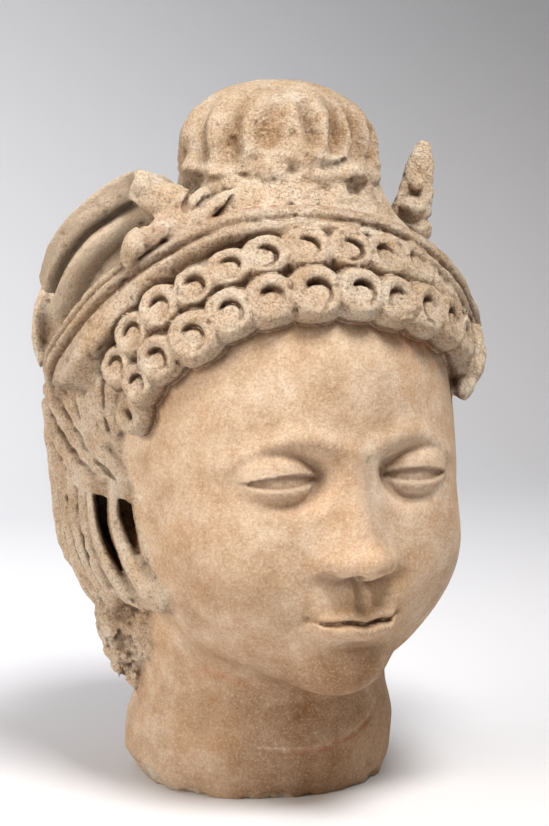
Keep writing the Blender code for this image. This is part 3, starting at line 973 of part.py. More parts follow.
# ---- the underside, one flat break
bpy.ops.mesh.primitive_cube_add(size=1.0, location=(0, 0, -0.05))
ground = helper(bpy.context.object)
ground.name = "ground_cut"
ground.scale = (0.4, 0.4, 0.1)
bpy.context.view_layer.update()
apply(head, "BOOLEAN", "underside", operation="DIFFERENCE", solver="EXACT", object=ground)

# ---- surface
stucco = bpy.data.materials.new("lime_stucco")
stucco.use_nodes = True
shader = stucco.node_tree.nodes["Principled BSDF"]
shader.inputs["Base Color"].default_value = (0.50, 0.37, 0.25, 1.0)
shader.inputs["Roughness"].default_value = 0.92
shader.inputs["Metallic"].default_value = 0.0
head.data.materials.clear()
head.data.materials.append(stucco)
head.data.shade_flat()
head.location = (0, 0, 0)
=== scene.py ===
"""The looks of the bodhisattva head: one carved and weathered mass of lime stucco.

The form below is written as functions of position in millimetres (negative inside). It is
turned into a fine mesh, worked over with the small relief (grain, pits, hair lines, chips),
thinned out, and given its material, floor, light and camera.
"""

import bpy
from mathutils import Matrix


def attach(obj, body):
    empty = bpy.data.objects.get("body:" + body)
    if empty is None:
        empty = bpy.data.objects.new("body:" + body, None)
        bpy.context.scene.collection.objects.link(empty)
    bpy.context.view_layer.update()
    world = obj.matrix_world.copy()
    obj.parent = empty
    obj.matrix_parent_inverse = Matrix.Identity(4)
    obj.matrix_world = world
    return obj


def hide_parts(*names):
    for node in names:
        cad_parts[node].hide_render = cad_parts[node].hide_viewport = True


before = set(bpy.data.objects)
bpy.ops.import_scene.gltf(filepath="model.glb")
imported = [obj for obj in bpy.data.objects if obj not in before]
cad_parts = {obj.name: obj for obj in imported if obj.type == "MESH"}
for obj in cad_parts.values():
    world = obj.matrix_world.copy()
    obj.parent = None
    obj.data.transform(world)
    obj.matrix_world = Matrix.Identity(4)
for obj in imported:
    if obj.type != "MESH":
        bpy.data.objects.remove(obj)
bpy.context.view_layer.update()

import math
from concurrent.futures import ThreadPoolExecutor

import bpy
import numpy as np
import openvdb
from mathutils import Vector

GRID = 8.0 / 6.0      # edge of the finest cells, mm
MOST_TRIANGLES = 197000

def smin(a, b, k):
    h = np.clip(0.5 + 0.5 * (b - a) / k, 0.0, 1.0)
    return b + (a - b) * h - k * h * (1.0 - h)
def smax(a, b, k):
    return -smin(-a, -b, k)
def rot_x(t):
    c, s = np.cos(np.radians(t)), np.sin(np.radians(t)); return np.array([[1,0,0],[0,c,-s],[0,s,c]])
def rot_y(t):
    c, s = np.cos(np.radians(t)), np.sin(np.radians(t)); return np.array([[c,0,s],[0,1,0],[-s,0,c]])
def rot_z(t):
    c, s = np.cos(np.radians(t)), np.sin(np.radians(t)); return np.array([[c,-s,0],[s,c,0],[0,0,1]])
def ell(p, c, r, R=None):
    q = p - np.asarray(c, float)
    if R is not None:
        q = q @ R
    r = np.asarray(r, float)
    k0 = np.sqrt(((q / r) ** 2).sum(1)) + 1e-9
    k1 = np.sqrt(((q / (r * r)) ** 2).sum(1)) + 1e-9
    return k0 * (k0 - 1.0) / k1
def step(x, a, b):
    t = np.clip((x - a) / (b - a), 0, 1)
    return t * t * (3 - 2 * t)
def bump(x, c, w):
    return np.exp(-((x - c) / w) ** 2)

CHIN_Z, UNIT = 93.0, 94.7
NOSE_Z = CHIN_Z + UNIT
BROW_Z = CHIN_Z + 2 * UNIT
HAIR_Z = CHIN_Z + 3 * UNIT
EYE_Z = CHIN_Z + 1.75 * UNIT
MOUTH_Z = CHIN_Z + 0.66 * UNIT
FACE_HALF = 132.0
EYE_W = 2 * FACE_HALF / 5.0
EYE_X = EYE_W

def head_mass(p):
    q = p.copy(); q[:, 0] = np.abs(q[:, 0])
    f = ell(q, (0, -28, 305), (134, 158, 146))
    f = smin(f, ell(q, (0, -72, 232), (126, 116, 122)), 30)
    f = smin(f, ell(q, (0, -92, 175), (104, 90, 84)), 30)
    f = smin(f, ell(q, (50, -120, 200), (56, 58, 52)), 26)
    f = smin(f, ell(q, (0, -150, 122), (37, 37, 30)), 24)
    f = smin(f, ell(q, (0, -146, 164), (46, 42, 36)), 20)
    t = np.clip(q[:, 2] / 130.0, -0.2, 1.3)
    cy = -24.0 * np.clip(t, 0, 1.3)
    rad = 94.5 + 9.0 * step(-q[:, 2], -84.0, -42.0) - 3.0 * np.clip(1 - q[:, 2] / 18.0, 0, 1)
    n = np.sqrt((q[:, 0] / 1.03) ** 2 + (q[:, 1] - cy) ** 2) - rad
    n = smax(n, q[:, 2] - 190.0, 10.0)
    n = smax(n, -30.0 - q[:, 2], 2.0)
    return smin(f, n, 16)

def lips(x, z):
    """Relief of the mouth in front of the face, from its three border lines."""
    half = 36.0
    u = np.clip(x / half, 0, 1)
    M = MOUTH_Z
    line = M - 1.0 - 0.8 * bump(x, 0, 5) + 1.1 * bump(x, 12, 7) - 0.4 * bump(x, 24, 6) + 2.6 * step(u, 0.72, 1.0)
    top = line + (11.0 - 1.8 * bump(x, 0, 4.2)) * np.clip(1 - u ** 2.0, 0, 1) ** 0.85 + 0.6
    low = line - 14.5 * np.clip(1 - u ** 2.4, 0, 1) ** 0.66 - 0.4
    inside = np.clip(1 - (x / half) ** 5, 0, 1)
    t = (z - line) / np.maximum(top - line, 1.0)
    b = (line - z) / np.maximum(line - low, 1.0)
    upper = np.where((t >= 0) & (t < 1), (1 - np.clip(t, 0, 1) ** 1.6) ** 0.6, 0.0) * 7.4 * np.clip(1 - u ** 3, 0, 1) ** 0.6
    lower = np.where((b > 0) & (b < 1), np.clip(1 - (2 * np.clip(b, 0, 1) - 0.84) ** 2 / 1.35, 0, 1) ** 0.8, 0.0) * 9.8 * np.clip(1 - u ** 2.4, 0, 1) ** 0.6
    gap = np.exp(-((z - line) / 2.2) ** 2) * (6.0 * np.clip(1 - (x / (half + 4)) ** 6, 0, 1)) * 1.0
    # soft arch of the mouth, dip under the lip, groove of the philtrum
    soft = 4.0 * np.exp(-(x / 30) ** 2 - ((z - M) / 20) ** 2)
    under = -6.0 * np.exp(-(x / 20) ** 2 - ((z - (M - 21)) / 6.0) ** 2)
    phil = -1.9 * np.exp(-(x / 3.6) ** 2) * step(z, M + 9, M + 13) * (1 - step(z, NOSE_Z - 10, NOSE_Z))
    edge = 1.0 * np.exp(-((x - 7.2) / 2.6) ** 2) * step(z, M + 8, M + 12) * (1 - step(z, NOSE_Z - 12, NOSE_Z - 2))
    corner = -2.2 * np.exp(-((x - half - 2.5) / 6.0) ** 2 - ((z - (M + 1.0)) / 8.0) ** 2)
    return (upper + lower) * inside - gap + soft + under + phil + edge + corner

def head_sdf(p):
    q = p.copy(); q[:, 0] = np.abs(q[:, 0])
    f = head_mass(p)
    y, z = q[:, 1], q[:, 2]
    near = (y < -80) & (z > 85) & (z < 345)
    if not near.any():
        return f
    s = q[near]; g = f[near]
    x, y, z = s[:, 0], s[:, 1], s[:, 2]
    ex = EYE_X
    front = step(-y, 110, 140)
    # ---- brow roll and eye hollow
    bt = np.clip((x - 8) / 84.0, 0, 1)
    brow = BROW_Z - 11 + 15.0 * np.sin(np.pi * np.clip(bt * 0.93 + 0.08, 0, 1)) ** 1.0 - 8.0 * bt ** 2.5
    d = z - brow
    inb = 0.35 + 0.65 * step(x, 0, 14)
    inb = inb * (1 - step(x, 84, 104))
    g = g - front * inb * 3.4 * np.exp(-((d - 3.5) / 8.0) ** 2)
    sock = ell(s, (ex - 1.0, -203, EYE_Z - 2.0), (43.0, 37, 29.0), rot_z(17) @ rot_y(-3))
    g = smax(g, -sock, 6.0)
    # deeper pocket at the inner corner
    g = smax(g, -ell(s, (27.5, -190, EYE_Z), (10.5, 20, 12), rot_z(8)), 9.0)
    # ---- nose
    t = np.clip((BROW_Z - 6 - z) / (BROW_Z - 6 - (NOSE_Z + 13)), 0, 1)
    ridge = -189.5 - 30.0 * t ** 1.1 + 0.55 * np.clip(z - (BROW_Z - 6), 0, 60)
    slope = 1.62 - 0.40 * t
    rr = 9.5 + 1.0 * t
    w = (ridge + slope * (np.sqrt(x * x + rr * rr) - rr) - y) / np.sqrt(1 + slope * slope)
    w = smax(w, (NOSE_Z + 5.5 - 0.12 * (y + 200)) - z, 5.0)
    w = smax(w, x - 42.0, 6.0)
    g = smin(g, w, 9.0)
    g = smin(g, ell(s, (0, -209.5, NOSE_Z + 14.5), (12.5, 14.0, 11.5)), 8.0)
    g = smin(g, ell(s, (15.5, -196.5, NOSE_Z + 11.0), (9.5, 15.5, 10.0), rot_z(-14) @ rot_x(-10)), 4.0)
    g = smin(g, ell(s, (0, -201, NOSE_Z + 4.0), (4.6, 14, 5.5), rot_x(-12)), 4.0)
    g = smax(g, -ell(s, (9.4, -201, NOSE_Z + 1.5), (4.3, 9.0, 5.2), rot_z(-18)), 2.0)
    # ---- eyeball and lids
    E = rot_z(15)
    cy = -150.0
    R = np.array([31.5, 28.5, 27.5])
    ball = ell(s, (ex, cy, EYE_Z - 1), R, E)
    dx = (x - ex) / 26.5
    arch = np.clip(1 - dx * dx, 0, 1)
    up_edge = EYE_Z - 0.5 + 4.4 * arch - 1.0 * dx - 2.0 * np.clip(-dx - 0.75, 0, 1)
    lo_edge = EYE_Z - 2.2 - 4.8 * arch ** 0.8 - 1.0 * dx - 2.0 * np.clip(-dx - 0.75, 0, 1)
    upper = ell(s, (ex, cy, EYE_Z - 0.5), R + np.array([3.0, 3.6, 2.0]), E)
    upper = smax(upper, up_edge - z, 0.9)
    lower = ell(s, (ex, cy, EYE_Z - 2.0), R + np.array([2.4, 2.6, 1.0]), E)
    lower = smax(lower, z - lo_edge, 0.9)
    # the pouch of the lower lid runs softly into the cheek
    g = smin(g, ball, 1.2)
    g = smin(g, upper, 1.6)
    g = smin(g, lower, 2.5)
    # ---- mouth relief
    g = g - front * lips(x, z) * (1 - step(z, NOSE_Z - 4, NOSE_Z + 6))
    f = f.copy(); f[near] = g
    return f

# ---------------------------------------------------------------- places on the head
AX, AY, AZ = 0.0, -28.0, 305.0          # centre of the skull, from which places on the head are given

def solve_on(dirs, off, origin=(AX, AY, AZ), far=320.0):
    """Where rays from the centre of the skull leave the head's mass grown by off."""
    o = np.asarray(origin, float)
    d = dirs / np.linalg.norm(dirs, axis=1, keepdims=True)
    off = np.broadcast_to(np.asarray(off, float), (len(d),))
    lo = np.full(len(d), 20.0); hi = np.full(len(d), far)
    for _ in range(32):
        mid = 0.5 * (lo + hi)
        inside = head_mass(o + d * mid[:, None]) < off
        lo = np.where(inside, mid, lo); hi = np.where(inside, hi, mid)
    return o + d * (0.5 * (lo + hi))[:, None]

def solve_front(x, z, off):
    """The point of the head's front, grown by off, that has this x and z."""
    x = np.atleast_1d(np.asarray(x, float)); z = np.atleast_1d(np.asarray(z, float))
    lo = np.full(len(x), AY - 6.0); hi = np.full(len(x), -260.0)
    for _ in range(32):
        mid = 0.5 * (lo + hi)
        inside = head_mass(np.stack([x, mid, z], 1)) < off
        lo = np.where(inside, mid, lo); hi = np.where(inside, hi, mid)
    return np.stack([x, 0.5 * (lo + hi), z], 1)

def grad(f, p, e=0.6):
    g = np.empty_like(p)
    for i in range(3):
        d = np.zeros(3); d[i] = e
        g[:, i] = f(p + d) - f(p - d)
    return g / (np.linalg.norm(g, axis=1, keepdims=True) + 1e-12)

def unit(v):
    v = np.asarray(v, float)
    return v / (np.linalg.norm(v, axis=-1, keepdims=True) + 1e-12)

def hair_off(theta):
    """Thickness of the hair over the skull: thin over the brow, thick behind the ears."""
    a = np.abs(theta)
    return 8.0 + 20.0 * step(a, 58.0, 112.0) - 6.0 * step(a, 135.0, 175.0)

def band_off(theta):
    a = np.abs(theta)
    return 21.0 + 13.0 * step(a, 60.0, 100.0) - 12.5 * step(a, 90.0, 110.0)

def sphere_dir(theta, phi):
    t, f = np.radians(theta), np.radians(phi)
    return np.stack([np.sin(t) * np.cos(f), -np.cos(t) * np.cos(f), np.sin(f)], -1)

def theta_phi(p):
    q = p - np.array([AX, AY, AZ])
    return np.degrees(np.arctan2(q[:, 0], -q[:, 1])), np.degrees(np.arctan2(q[:, 2], np.hypot(q[:, 0], q[:, 1])))

def spline(pts, n):
    """n points along a smooth curve through the given stations (Catmull-Rom), evenly by length."""
    P = np.asarray(pts, float)
    E = np.vstack([2 * P[0] - P[1], P, 2 * P[-1] - P[-2]])
    out = []
    for i in range(len(P) - 1):
        t = np.linspace(0, 1, 24, endpoint=False)[:, None]
        a, b, c, d = E[i], E[i + 1], E[i + 2], E[i + 3]
        out.append(0.5 * ((2 * b) + (c - a) * t + (2 * a - 5 * b + 4 * c - d) * t * t + (3 * b - a - 3 * c + d) * t ** 3))
    out = np.vstack(out + [P[-1:]])
    s = np.concatenate([[0], np.cumsum(np.linalg.norm(np.diff(out[:, :3], axis=0), axis=1))])
    q = np.linspace(0, s[-1], n)
    return np.stack([np.interp(q, s, out[:, k]) for k in range(out.shape[1])], 1)

def table(*pts, n=160):
    """A smooth profile through the stations, as a lookup table."""
    c = spline(pts, n)
    order = np.argsort(c[:, 0])
    return c[order, 0], c[order, 1]

# how high over the skull's centre the headband's bead runs, in degrees, for each direction round the head
BAND_LINE = table((-180, 0), (-150, -2), (-120, 2), (-104, 4), (-95, 9.5), (-88, 16.5), (-80, 27.5), (-72, 36.2), (-65, 41.7), (-57, 46.4),
                  (-47, 50.4), (-35, 53.2), (-18, 53.9), (0, 52.9), (16, 50.2), (28, 46.6), (38, 42.0), (46, 37.2), (56, 30.5),
                  (70, 21.5), (88, 12), (118, 3), (150, -2), (180, 0), n=400)
def band_phi(theta):
    return np.interp(theta, *BAND_LINE)

class Path:
    """A swept path with a frame (tangent, side, face normal) at each station."""
    def __init__(s, pts, face, closed=False):
        s.P = np.asarray(pts, float)[:, :3]
        s.closed = closed
        T = np.gradient(s.P, axis=0) if not closed else np.roll(s.P, -1, 0) - np.roll(s.P, 1, 0)
        s.T = unit(T)
        F = np.broadcast_to(np.asarray(face, float), s.P.shape)
        F = F - (F * s.T).sum(1, keepdims=True) * s.T
        s.N = unit(F)
        s.S = np.cross(s.N, s.T)
        d = np.linalg.norm(np.diff(s.P, axis=0), axis=1)
        s.L = np.concatenate([[0], np.cumsum(d)])
    def coords(s, p):
        """Length along the path, sideways and outward distance, and overrun past either end."""
        best = np.empty(len(p), int)
        for i in range(0, len(p), 20000):
            q = p[i:i + 20000]
            d = (q * q).sum(1)[:, None] - 2 * q @ s.P.T + (s.P * s.P).sum(1)[None]
            best[i:i + 20000] = d.argmin(1)
        # foot of the point on the stretch before and the stretch after the nearest station
        n = len(s.P)
        L, gap = None, None
        for k in (np.clip(best - 1, 0, n - 2), np.clip(best, 0, n - 2)):
            e = s.P[k + 1] - s.P[k]
            t = ((p - s.P[k]) * e).sum(1) / (e * e).sum(1)
            tc = np.clip(t, 0, 1)
            g = ((p - s.P[k] - tc[:, None] * e) ** 2).sum(1)
            Lk = s.L[k] + tc * (s.L[k + 1] - s.L[k])
            L, gap = (Lk, g) if L is None else (np.where(g < gap, Lk, L), np.minimum(g, gap))
        P = np.stack([np.interp(L, s.L, s.P[:, k]) for k in range(3)], 1)
        N = unit(np.stack([np.interp(L, s.L, s.N[:, k]) for k in range(3)], 1))
        S = unit(np.stack([np.interp(L, s.L, s.S[:, k]) for k in range(3)], 1))
        T = unit(np.stack([np.interp(L, s.L, s.T[:, k]) for k in range(3)], 1))
        d = p - P
        end = (L <= 0) | (L >= s.L[-1])
        over = np.abs((d * T).sum(1)) * end
        return L, (d * S).sum(1), (d * N).sum(1), over

def tube(p, path, radius, flat=1.0):
    """A tube with the radius given at each station; flat squeezes it across its face."""
    L, a, h, over = path.coords(p)
    r = np.interp(L, path.L, np.broadcast_to(radius, (len(path.L),)))
    return np.sqrt(a * a + (h / flat) ** 2 + over * over) - r

def poly(u, *pts):
    return np.interp(u, [q[0] for q in pts], [q[1] for q in pts])

def hash_noise(p, size, seed=0):
    """Smooth value noise in [-1, 1], the same every time."""
    q = p / size + seed * 17.31
    i = np.floor(q).astype(np.int64); f = q - i
    f = f * f * (3 - 2 * f)
    r = 0
    for dx in (0, 1):
        for dy in (0, 1):
            for dz in (0, 1):
                h = (i[:, 0] + dx) * 374761393 + (i[:, 1] + dy) * 668265263 + (i[:, 2] + dz) * 2147483647 + seed * 974711
                h = (h ^ (h >> 13)) * 1274126177
                h = (h ^ (h >> 16)) & 0xFFFFFF
                v = h / float(0xFFFFFF) * 2 - 1
                w = (f[:, 0] if dx else 1 - f[:, 0]) * (f[:, 1] if dy else 1 - f[:, 1]) * (f[:, 2] if dz else 1 - f[:, 2])
                r = r + v * w
    return r

def fbm(p, size, seed=0, octaves=3):
    a, s, out = 1.0, size, 0
    for k in range(octaves):
        out = out + a * hash_noise(p, s, seed + k); a *= 0.5; s *= 0.5
    return out / 1.75

# ---------------------------------------------------------------- curls: two rows over the brow
# x and z of each curl's middle, from the head's right temple to its left
LOW_ROW = [(-145, 302), (-139, 325), (-129, 344), (-110, 361), (-87, 379), (-60, 389), (-28, 394), (6, 393), (37, 386), (67, 378), (95, 367), (118, 352), (132, 334)]
TOP_ROW = [(-147, 336), (-138, 360), (-123, 380), (-103, 396), (-80, 410), (-55, 419), (-25, 425), (8, 423), (37, 417), (68, 410), (96, 396), (118, 382), (133, 363), (142, 343)]

# the ring of a curl: height against distance from its middle
RING_X, RING_H = table((0, 9.2), (0.2, 9.4), (0.4, 10.2), (0.6, 11.4), (0.74, 11.8), (0.88, 10.4), (1.0, 7.2), (1.2, 0.0), (1.5, -12))

def row_curls():
    out = []
    for k, row in enumerate((LOW_ROW, TOP_ROW)):
        x, z = np.array(row, float).T
        P = solve_front(x, z, 20.0 + 2.5 * k)
        gap = np.linalg.norm(np.diff(P, axis=0), axis=1)
        gap = 0.5 * (np.append(gap, gap[-1]) + np.append(gap[0], gap))
        for i in range(len(P)):
            u = unit(P[min(i + 1, len(P) - 1)] - P[max(i - 1, 0)])
            nrm = unit(grad(head_mass, P[i][None])[0] - np.array([0, 0, 0.20]))
            nrm = unit(nrm - (nrm @ u) * u)
            v = np.cross(nrm, u)
            if v[2] < 0:
                v = -v
            side = -1 if P[i][0] < 8.5 else 1
            out.append(dict(c=P[i] - 9.0 * nrm, u=u, v=v, n=nrm, r=float(np.clip(0.59 * gap[i], 14.0, 20.0)), row=k, i=i - 7, side=side))
    return out

def curl(p, C, seed):
    """A snail curl: a drum of hair with a thick rolled rim, wound in to a small knob behind a deep crescent."""
    q = p - C["c"]
    a, b, w = q @ C["u"], q @ C["v"], q @ C["n"]
    a = a * -C["side"]          # the far side's curls are mirrored
    rng = np.random.RandomState(seed)
    tilt = rng.uniform(-24, 20); deep = rng.uniform(0.8, 1.15); wide = rng.uniform(0.82, 1.15)
    sx, sy = rng.uniform(0.96, 1.05), rng.uniform(0.95, 1.04)
    under = rng.uniform(0.0, 1.0) ** 1.5; lift = rng.uniform(-0.8, 1.6)
    ct, st = np.cos(np.radians(tilt)), np.sin(np.radians(tilt))
    worn = 0.20 * (C["side"] > 0) + 0.55 * (step(C["i"], 1.0, 6.0) if C["side"] > 0 else 0.0)
    low_end = 1.0 * (C["row"] == 0 and C["i"] <= -7)       # the lowest curl by the temple has only a slit left
    rr = C["r"]
    # the outline is a little squared where the curls press on each other
    a, b = a / sx, b / sy
    rho = (np.abs(a) ** 3.1 + np.abs(b) ** 3.1) ** (1 / 3.1)
    rnd = np.hypot(a, b)
    a, b = a * ct - b * st, a * st + b * ct
    ang = np.degrees(np.arctan2(b, a))
    # the face: a thick ring, highest two thirds of the way out
    top = np.interp(rnd / rr, RING_X, RING_H) + 0.9 * hash_noise(p, 8.0, 91) + 0.45 * hash_noise(p, 3.7, 92)
    # the hollow winds from the left over the knob and down its right side, and on under it on some curls
    turn = (158.0 - ang) % 360.0                               # 0 at the upper left, clockwise
    gr = (0.41 + 0.10 * np.clip(turn / 230.0, 0, 1.3)) * rr
    rk = np.hypot(a + 0.03 * rr, b + 0.11 * rr)
    g_deep = np.interp(turn, (0, 22, 60, 105, 145, 190, 240, 290, 330, 360), (0.9, 3.2, 7.4, 8.6, 6.0, 3.0 + 1.6 * under, 1.4 + 1.8 * under, 0.6 + 0.8 * under, 0.1, 0.9))
    g_half = np.interp(turn, (0, 30, 80, 130, 180, 240, 300, 360), (1.4, 1.6, 1.95, 1.9, 1.9, 2.3, 2.3, 1.5)) * wide * (rr / 20.0)
    groove = g_deep * deep * (1 - 0.55 * worn) * np.exp(-np.abs((rk - gr) / g_half) ** 1.9)
    tip = np.sqrt((a + 0.06 * rr + 0.25 * (b + 0.10 * rr)) ** 2 + ((b + 0.13 * rr) * 1.1) ** 2 + (0.08 * rr) ** 2)
    knob = (8.0 + lift) * np.clip(1.0 - tip / (0.48 * rr), 0, 1) ** 1.1
    if low_end:
        groove = 6.0 * np.exp(-np.abs((b + 1.0) / 6.0) ** 3 - np.abs((a - 0.3 * b) / 1.8) ** 2); knob = 0.0
        top = top - 4.5
    side_in = 0.09 * np.clip(-w - 3.0, 0, 14) - 0.05 * np.clip(w, 0, 10)
    d = smax(rho - rr + side_in, (w - top) * 0.9, 7.0)
    d = smax(d, (w - (top - groove + knob)) * 0.72, 0.8)
    return smax(d, -w - 31.0, 2.0)

def near_box(p, lo, hi, pad=14.0):
    return ((p > np.asarray(lo, float) - pad) & (p < np.asarray(hi, float) + pad)).all(1)

# ---------------------------------------------------------------- headband
def band_path():
    th = np.linspace(-180, 180, 361)
    d = sphere_dir(th, band_phi(th))
    P = solve_on(d, band_off(th))
    N = grad(head_mass, P)
    N = unit(N + np.array([0, -0.42, 0]) * step(-P[:, 1], 20, 90)[:, None])
    return Path(P, N, closed=False), th
BAND, BAND_TH = band_path()
# profile across the band: bead, groove, thin ridge, hollow strip down to the curls
BAND_X, BAND_H = table((-30, -20), (-25, -15), (-21, -7.5), (-18, -0.5), (-15.6, 4.8), (-13.4, 8.8), (-11.2, 10.6), (-9.0, 9.2), (-7.3, 5.4), (-5.6, 6.6), (-4.0, 10.6), (-1.6, 13.0), (1.4, 13.0), (4.0, 10.8), (5.8, 6.0), (6.8, 0), (8, -14))

# towards the ears: a thin roll over one broad, slightly swelling face
SIDE_X, SIDE_H = table((-36, -16), (-32, -6), (-28.5, 2.5), (-24, 7.0), (-17, 9.2), (-12.5, 9.6), (-9.4, 8.6), (-7.6, 6.2), (-6.2, 8.0), (-4.4, 13.0), (-2.6, 15.0), (-0.6, 13.6), (1.0, 11.0), (2.4, 12.6), (4.2, 15.6), (6.2, 15.0), (7.8, 11.6), (9.2, 5), (10.2, 0), (11.4, -14), n=240)

def headband(p):
    th, _ = theta_phi(p)
    L, a, h, over = BAND.coords(p)
    relief = 1.0 - 0.62 * step(np.abs(th), 119.0, 124.0)       # the back is plainer and lower
    w = step(np.abs(th), 54.0, 78.0)
    H = np.interp(a, BAND_X, BAND_H) * (1 - w) + np.interp(a, SIDE_X, SIDE_H) * w
    H = np.where(H > 0, H * relief, H)
    d = (h - H) * 0.72
    low = np.interp(np.abs(th), (44, 58, 66, 76, 88, 98), (-20, -22, -25, -31, -27, -13))
    d = np.maximum(d, np.maximum(low - a, a - 7.2 - 3.0 * w))
    d = smax(d, (low + 3.0 - a) * 0.9, 2.5)
    return smax(d, -h - 16.0 - 22.0 * step(np.abs(th), 95, 120), 2.0)

# ---------------------------------------------------------------- hair over the skull, above and below the band
def crown(p):
    th, ph = theta_phi(p)
    off = 17.0 + 0.30 * (hair_off(th) - 8.0)
    behind = step(np.abs(th), 98, 122)
    front = (1 - step(np.abs(th), 50, 80)) * (1 - step(ph - band_phi(th), 14, 34))
    off = off + 1.0 * behind + 8.0 * front + (1.4 + 1.2 * front) * fbm(p, 22.0, 3, 3)
    above = (band_phi(th) - ph) * 2.4 - 12.0 - 6.0 * behind
    return smax(head_mass(p) - off, above, 3.0)

def back_hair(p):
    th, ph = theta_phi(p)
    a = np.abs(th)
    z = p[:, 2]
    # combed locks falling from the band, parted by shallow furrows
    comb = th * 10.0 + 22.0 * np.sin(z / 46.0 + th / 40.0)
    lock = 3.4 * np.abs(np.cos(np.radians(comb))) ** 0.7 + 0.8 * fbm(p * np.array([1, 1, 0.3]), 9.0, 11, 2)
    t = np.clip((300 - z) / 210.0, 0, 1)
    off = (hair_off(th) - 9.0 + lock) * (1 - 0.92 * t ** 1.7)
    d = head_mass(p) - off
    d = smax(d, (ph - band_phi(th)) * 2.4 + 7.0, 3.0)
    front = 72.0 + 30.0 * step(-z, -300, -235)                 # runs back from the temple to behind the ear
    d = smax(d, (front - a) * 2.2, 6.0)
    low = 88.0 + 24.0 * step(a, 100, 150) + 4.0 * np.cos(np.radians(comb * 1.0)) + 4.0 * fbm(p, 18.0, 5, 2)
    return smax(d, low - z, 9.0)

# ---------------------------------------------------------------- topknot
KNOT = np.array([0.0, -46.0, 497.0]); KNOT_R, KNOT_RISE, KNOT_TILT = 79.0, 48.0, 5.0

# hollows between the swollen tresses: direction, height, half width, reach up and down, depth, lean
KNOT_HOLLOWS = [(-77, 3, 6.5, 38, 18, 9.0, -0.30), (-54.5, 4, 8.6, 42, 19, 13.0, 0.0), (-30.5, 11, 11.5, 36, 11, 12.0, 0.10), (-38, -5, 4.5, 10, 9, 4.5, 0.25), (-16, 14, 4.6, 12, 8, 7.5, 0.0), (-3.0, 14, 7.6, 26, 11, 13.0, -0.2),
                (13.5, 12, 7.4, 34, 15, 13.5, 0.3), (29.0, 8, 7.0, 34, 16, 11.5, 0.25), (46, 2, 6.5, 24, 11, 11.0, 0.3)]
KNOT_HOLLOWS += [(k, 4 + 3 * math.cos(k), 8.0, 36 + 4 * math.sin(3 * k), 17, 10.0, 0.0) for k in range(68, 262, 22)]
# swellings of the collar under them: direction, height, half width, half height, rise
KNOT_LUMPS = [(-28, -14, 15, 13, 3.5), (-66, -18, 12, 14, 3.0), (0, -20, 15, 10, 2.5), (26, -18, 12, 13, 6.0), (42, -24, 9, 11, 5.0), (-88, -22, 9, 16, 3.5)]

def knot_frame(p):
    q = (p - KNOT) @ rot_x(-KNOT_TILT).T
    return q, np.degrees(np.arctan2(q[:, 0], -q[:, 1]))

def knot_dug(ang, z):
    """How deep the hollows between the tresses are cut."""
    dug = np.zeros(len(z))
    for a0, z0, hw, up, down, deep, lean in KNOT_HOLLOWS:
        u = ((ang - a0 - lean * (z - z0) + 180.0) % 360.0 - 180.0) / hw
        v = np.where(z > z0, (z - z0) / up, (z - z0) / down)
        m = (np.abs(u) < 2.4) & (np.abs(v) < 1)
        if m.any():
            fade = np.where(v[m] > 0, (1 - v[m]) ** 1.15, (1 - v[m] ** 2) ** 0.7)
            dug[m] = np.maximum(dug[m], deep * np.exp(-np.abs(u[m] / (1.0 + 0.35 * np.clip(v[m], 0, 1))) ** 1.7) * fade)
    return dug

